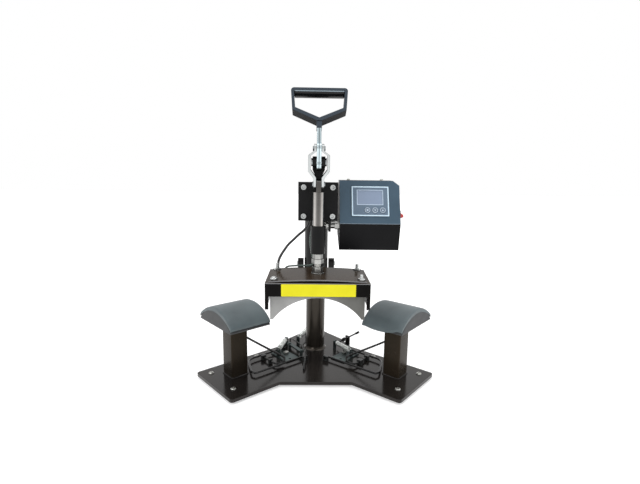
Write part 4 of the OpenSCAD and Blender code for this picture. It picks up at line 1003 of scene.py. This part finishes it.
def bead_mesh(side):
    half = POST_HALF + BEAD_OUT
    loop = rounded_corners(-half, -half, half, half, BEAD_CORNER, 4)
    path = [arm_point(side, STATION_REACH + x, y, PLATE_TOP + BEAD_RISE) for x, y in loop + loop[:1]]
    return sweep(path, BEAD_RADIUS * MM, 10)


joined("post_welds", [bead_mesh(side) for side in (-1, 1)], PLATE, body_of("platen_posts"))

# Stage and light: the floor's glow and the sky's strength, each as from, to, and the two ends' values.
FLOOR_SIZE = 12
FLOOR_GLOW = (0.35, 1.6, 0.42, 0.8)
SKY_SIDES = (0.2, 0.75, 0.28, 0.8)
SKY_OVERHEAD = (0.45, 0.9, 0.28, 0.85)
WHITE = (1, 1, 1, 1)
# Each lamp's name, place, aim, size and power.
LAMPS = [("key_light", (-1.3, -1.5, 1.5), (0, 0, 0.25), (1.1, 1.1), 18),
         ("fill_light", (1.6, -1.1, 1.0), (0, 0, 0.25), (0.7, 0.9), 9),
         ("top_light", (0, 0.1, 1.9), (0, -0.05, 0.2), (2.4, 2.0), 14)]


def make_floor():
    """Pale floor that keeps its shadow; its glow is only for rays that show it."""
    bpy.ops.mesh.primitive_plane_add(size=FLOOR_SIZE, location=(0, 0, 0))
    floor = bpy.context.object
    floor.name = "studio_floor"
    f = Finish("studio_floor")
    f.colour(f.ramp(f.noise(3, detail=2), 0.2, 0.8, (0.8, 0.8, 0.8), (0.84, 0.84, 0.84)))
    f.rough(f.noise(40, detail=2), 0.6, 0.75)
    f.set(gloss=0.1)
    reach = f.add("ShaderNodeVectorMath", operation="LENGTH")
    f.link(f.place, reach.inputs[0])
    glow = computed(f.tree, "MULTIPLY", f.ranged(reach.outputs["Value"], *FLOOR_GLOW), seen_rays(f.tree))
    f.link(glow, f.shader.inputs["Emission Strength"])
    f.shader.inputs["Emission Color"].default_value = WHITE
    floor.data.materials.append(f.material)


def make_world():
    """White where it is seen; as a light, a pale sky that is brighter to both sides and overhead."""
    world = bpy.data.worlds.new("studio")
    world.use_nodes = True
    bpy.context.scene.world = world
    tree = world.node_tree
    background = tree.nodes["Background"]
    background.inputs["Color"].default_value = WHITE
    place = tree.nodes.new("ShaderNodeTexCoord").outputs["Generated"]
    sideways = computed(tree, "ABSOLUTE", part_of(tree, place, "X"))
    sky = computed(tree, "MAXIMUM", ranged(tree, sideways, *SKY_SIDES),
                   ranged(tree, part_of(tree, place, "Z"), *SKY_OVERHEAD))
    strength = computed(tree, "MAXIMUM", sky, seen_rays(tree))
    tree.links.new(strength, background.inputs["Strength"])


def area_light(name, place, aim, size, power):
    data = bpy.data.lights.new(name, "AREA")
    data.shape = "RECTANGLE"
    data.size, data.size_y = size
    data.energy = power
    lamp = bpy.data.objects.new(name, data)
    bpy.context.scene.collection.objects.link(lamp)
    lamp.location = place
    lamp.rotation_mode = "QUATERNION"
    lamp.rotation_quaternion = (Vector(aim) - Vector(place)).to_track_quat("-Z", "Y")


make_floor()
make_world()
for lamp_values in LAMPS:
    area_light(*lamp_values)
bpy.context.scene.view_settings.view_transform = "Standard"
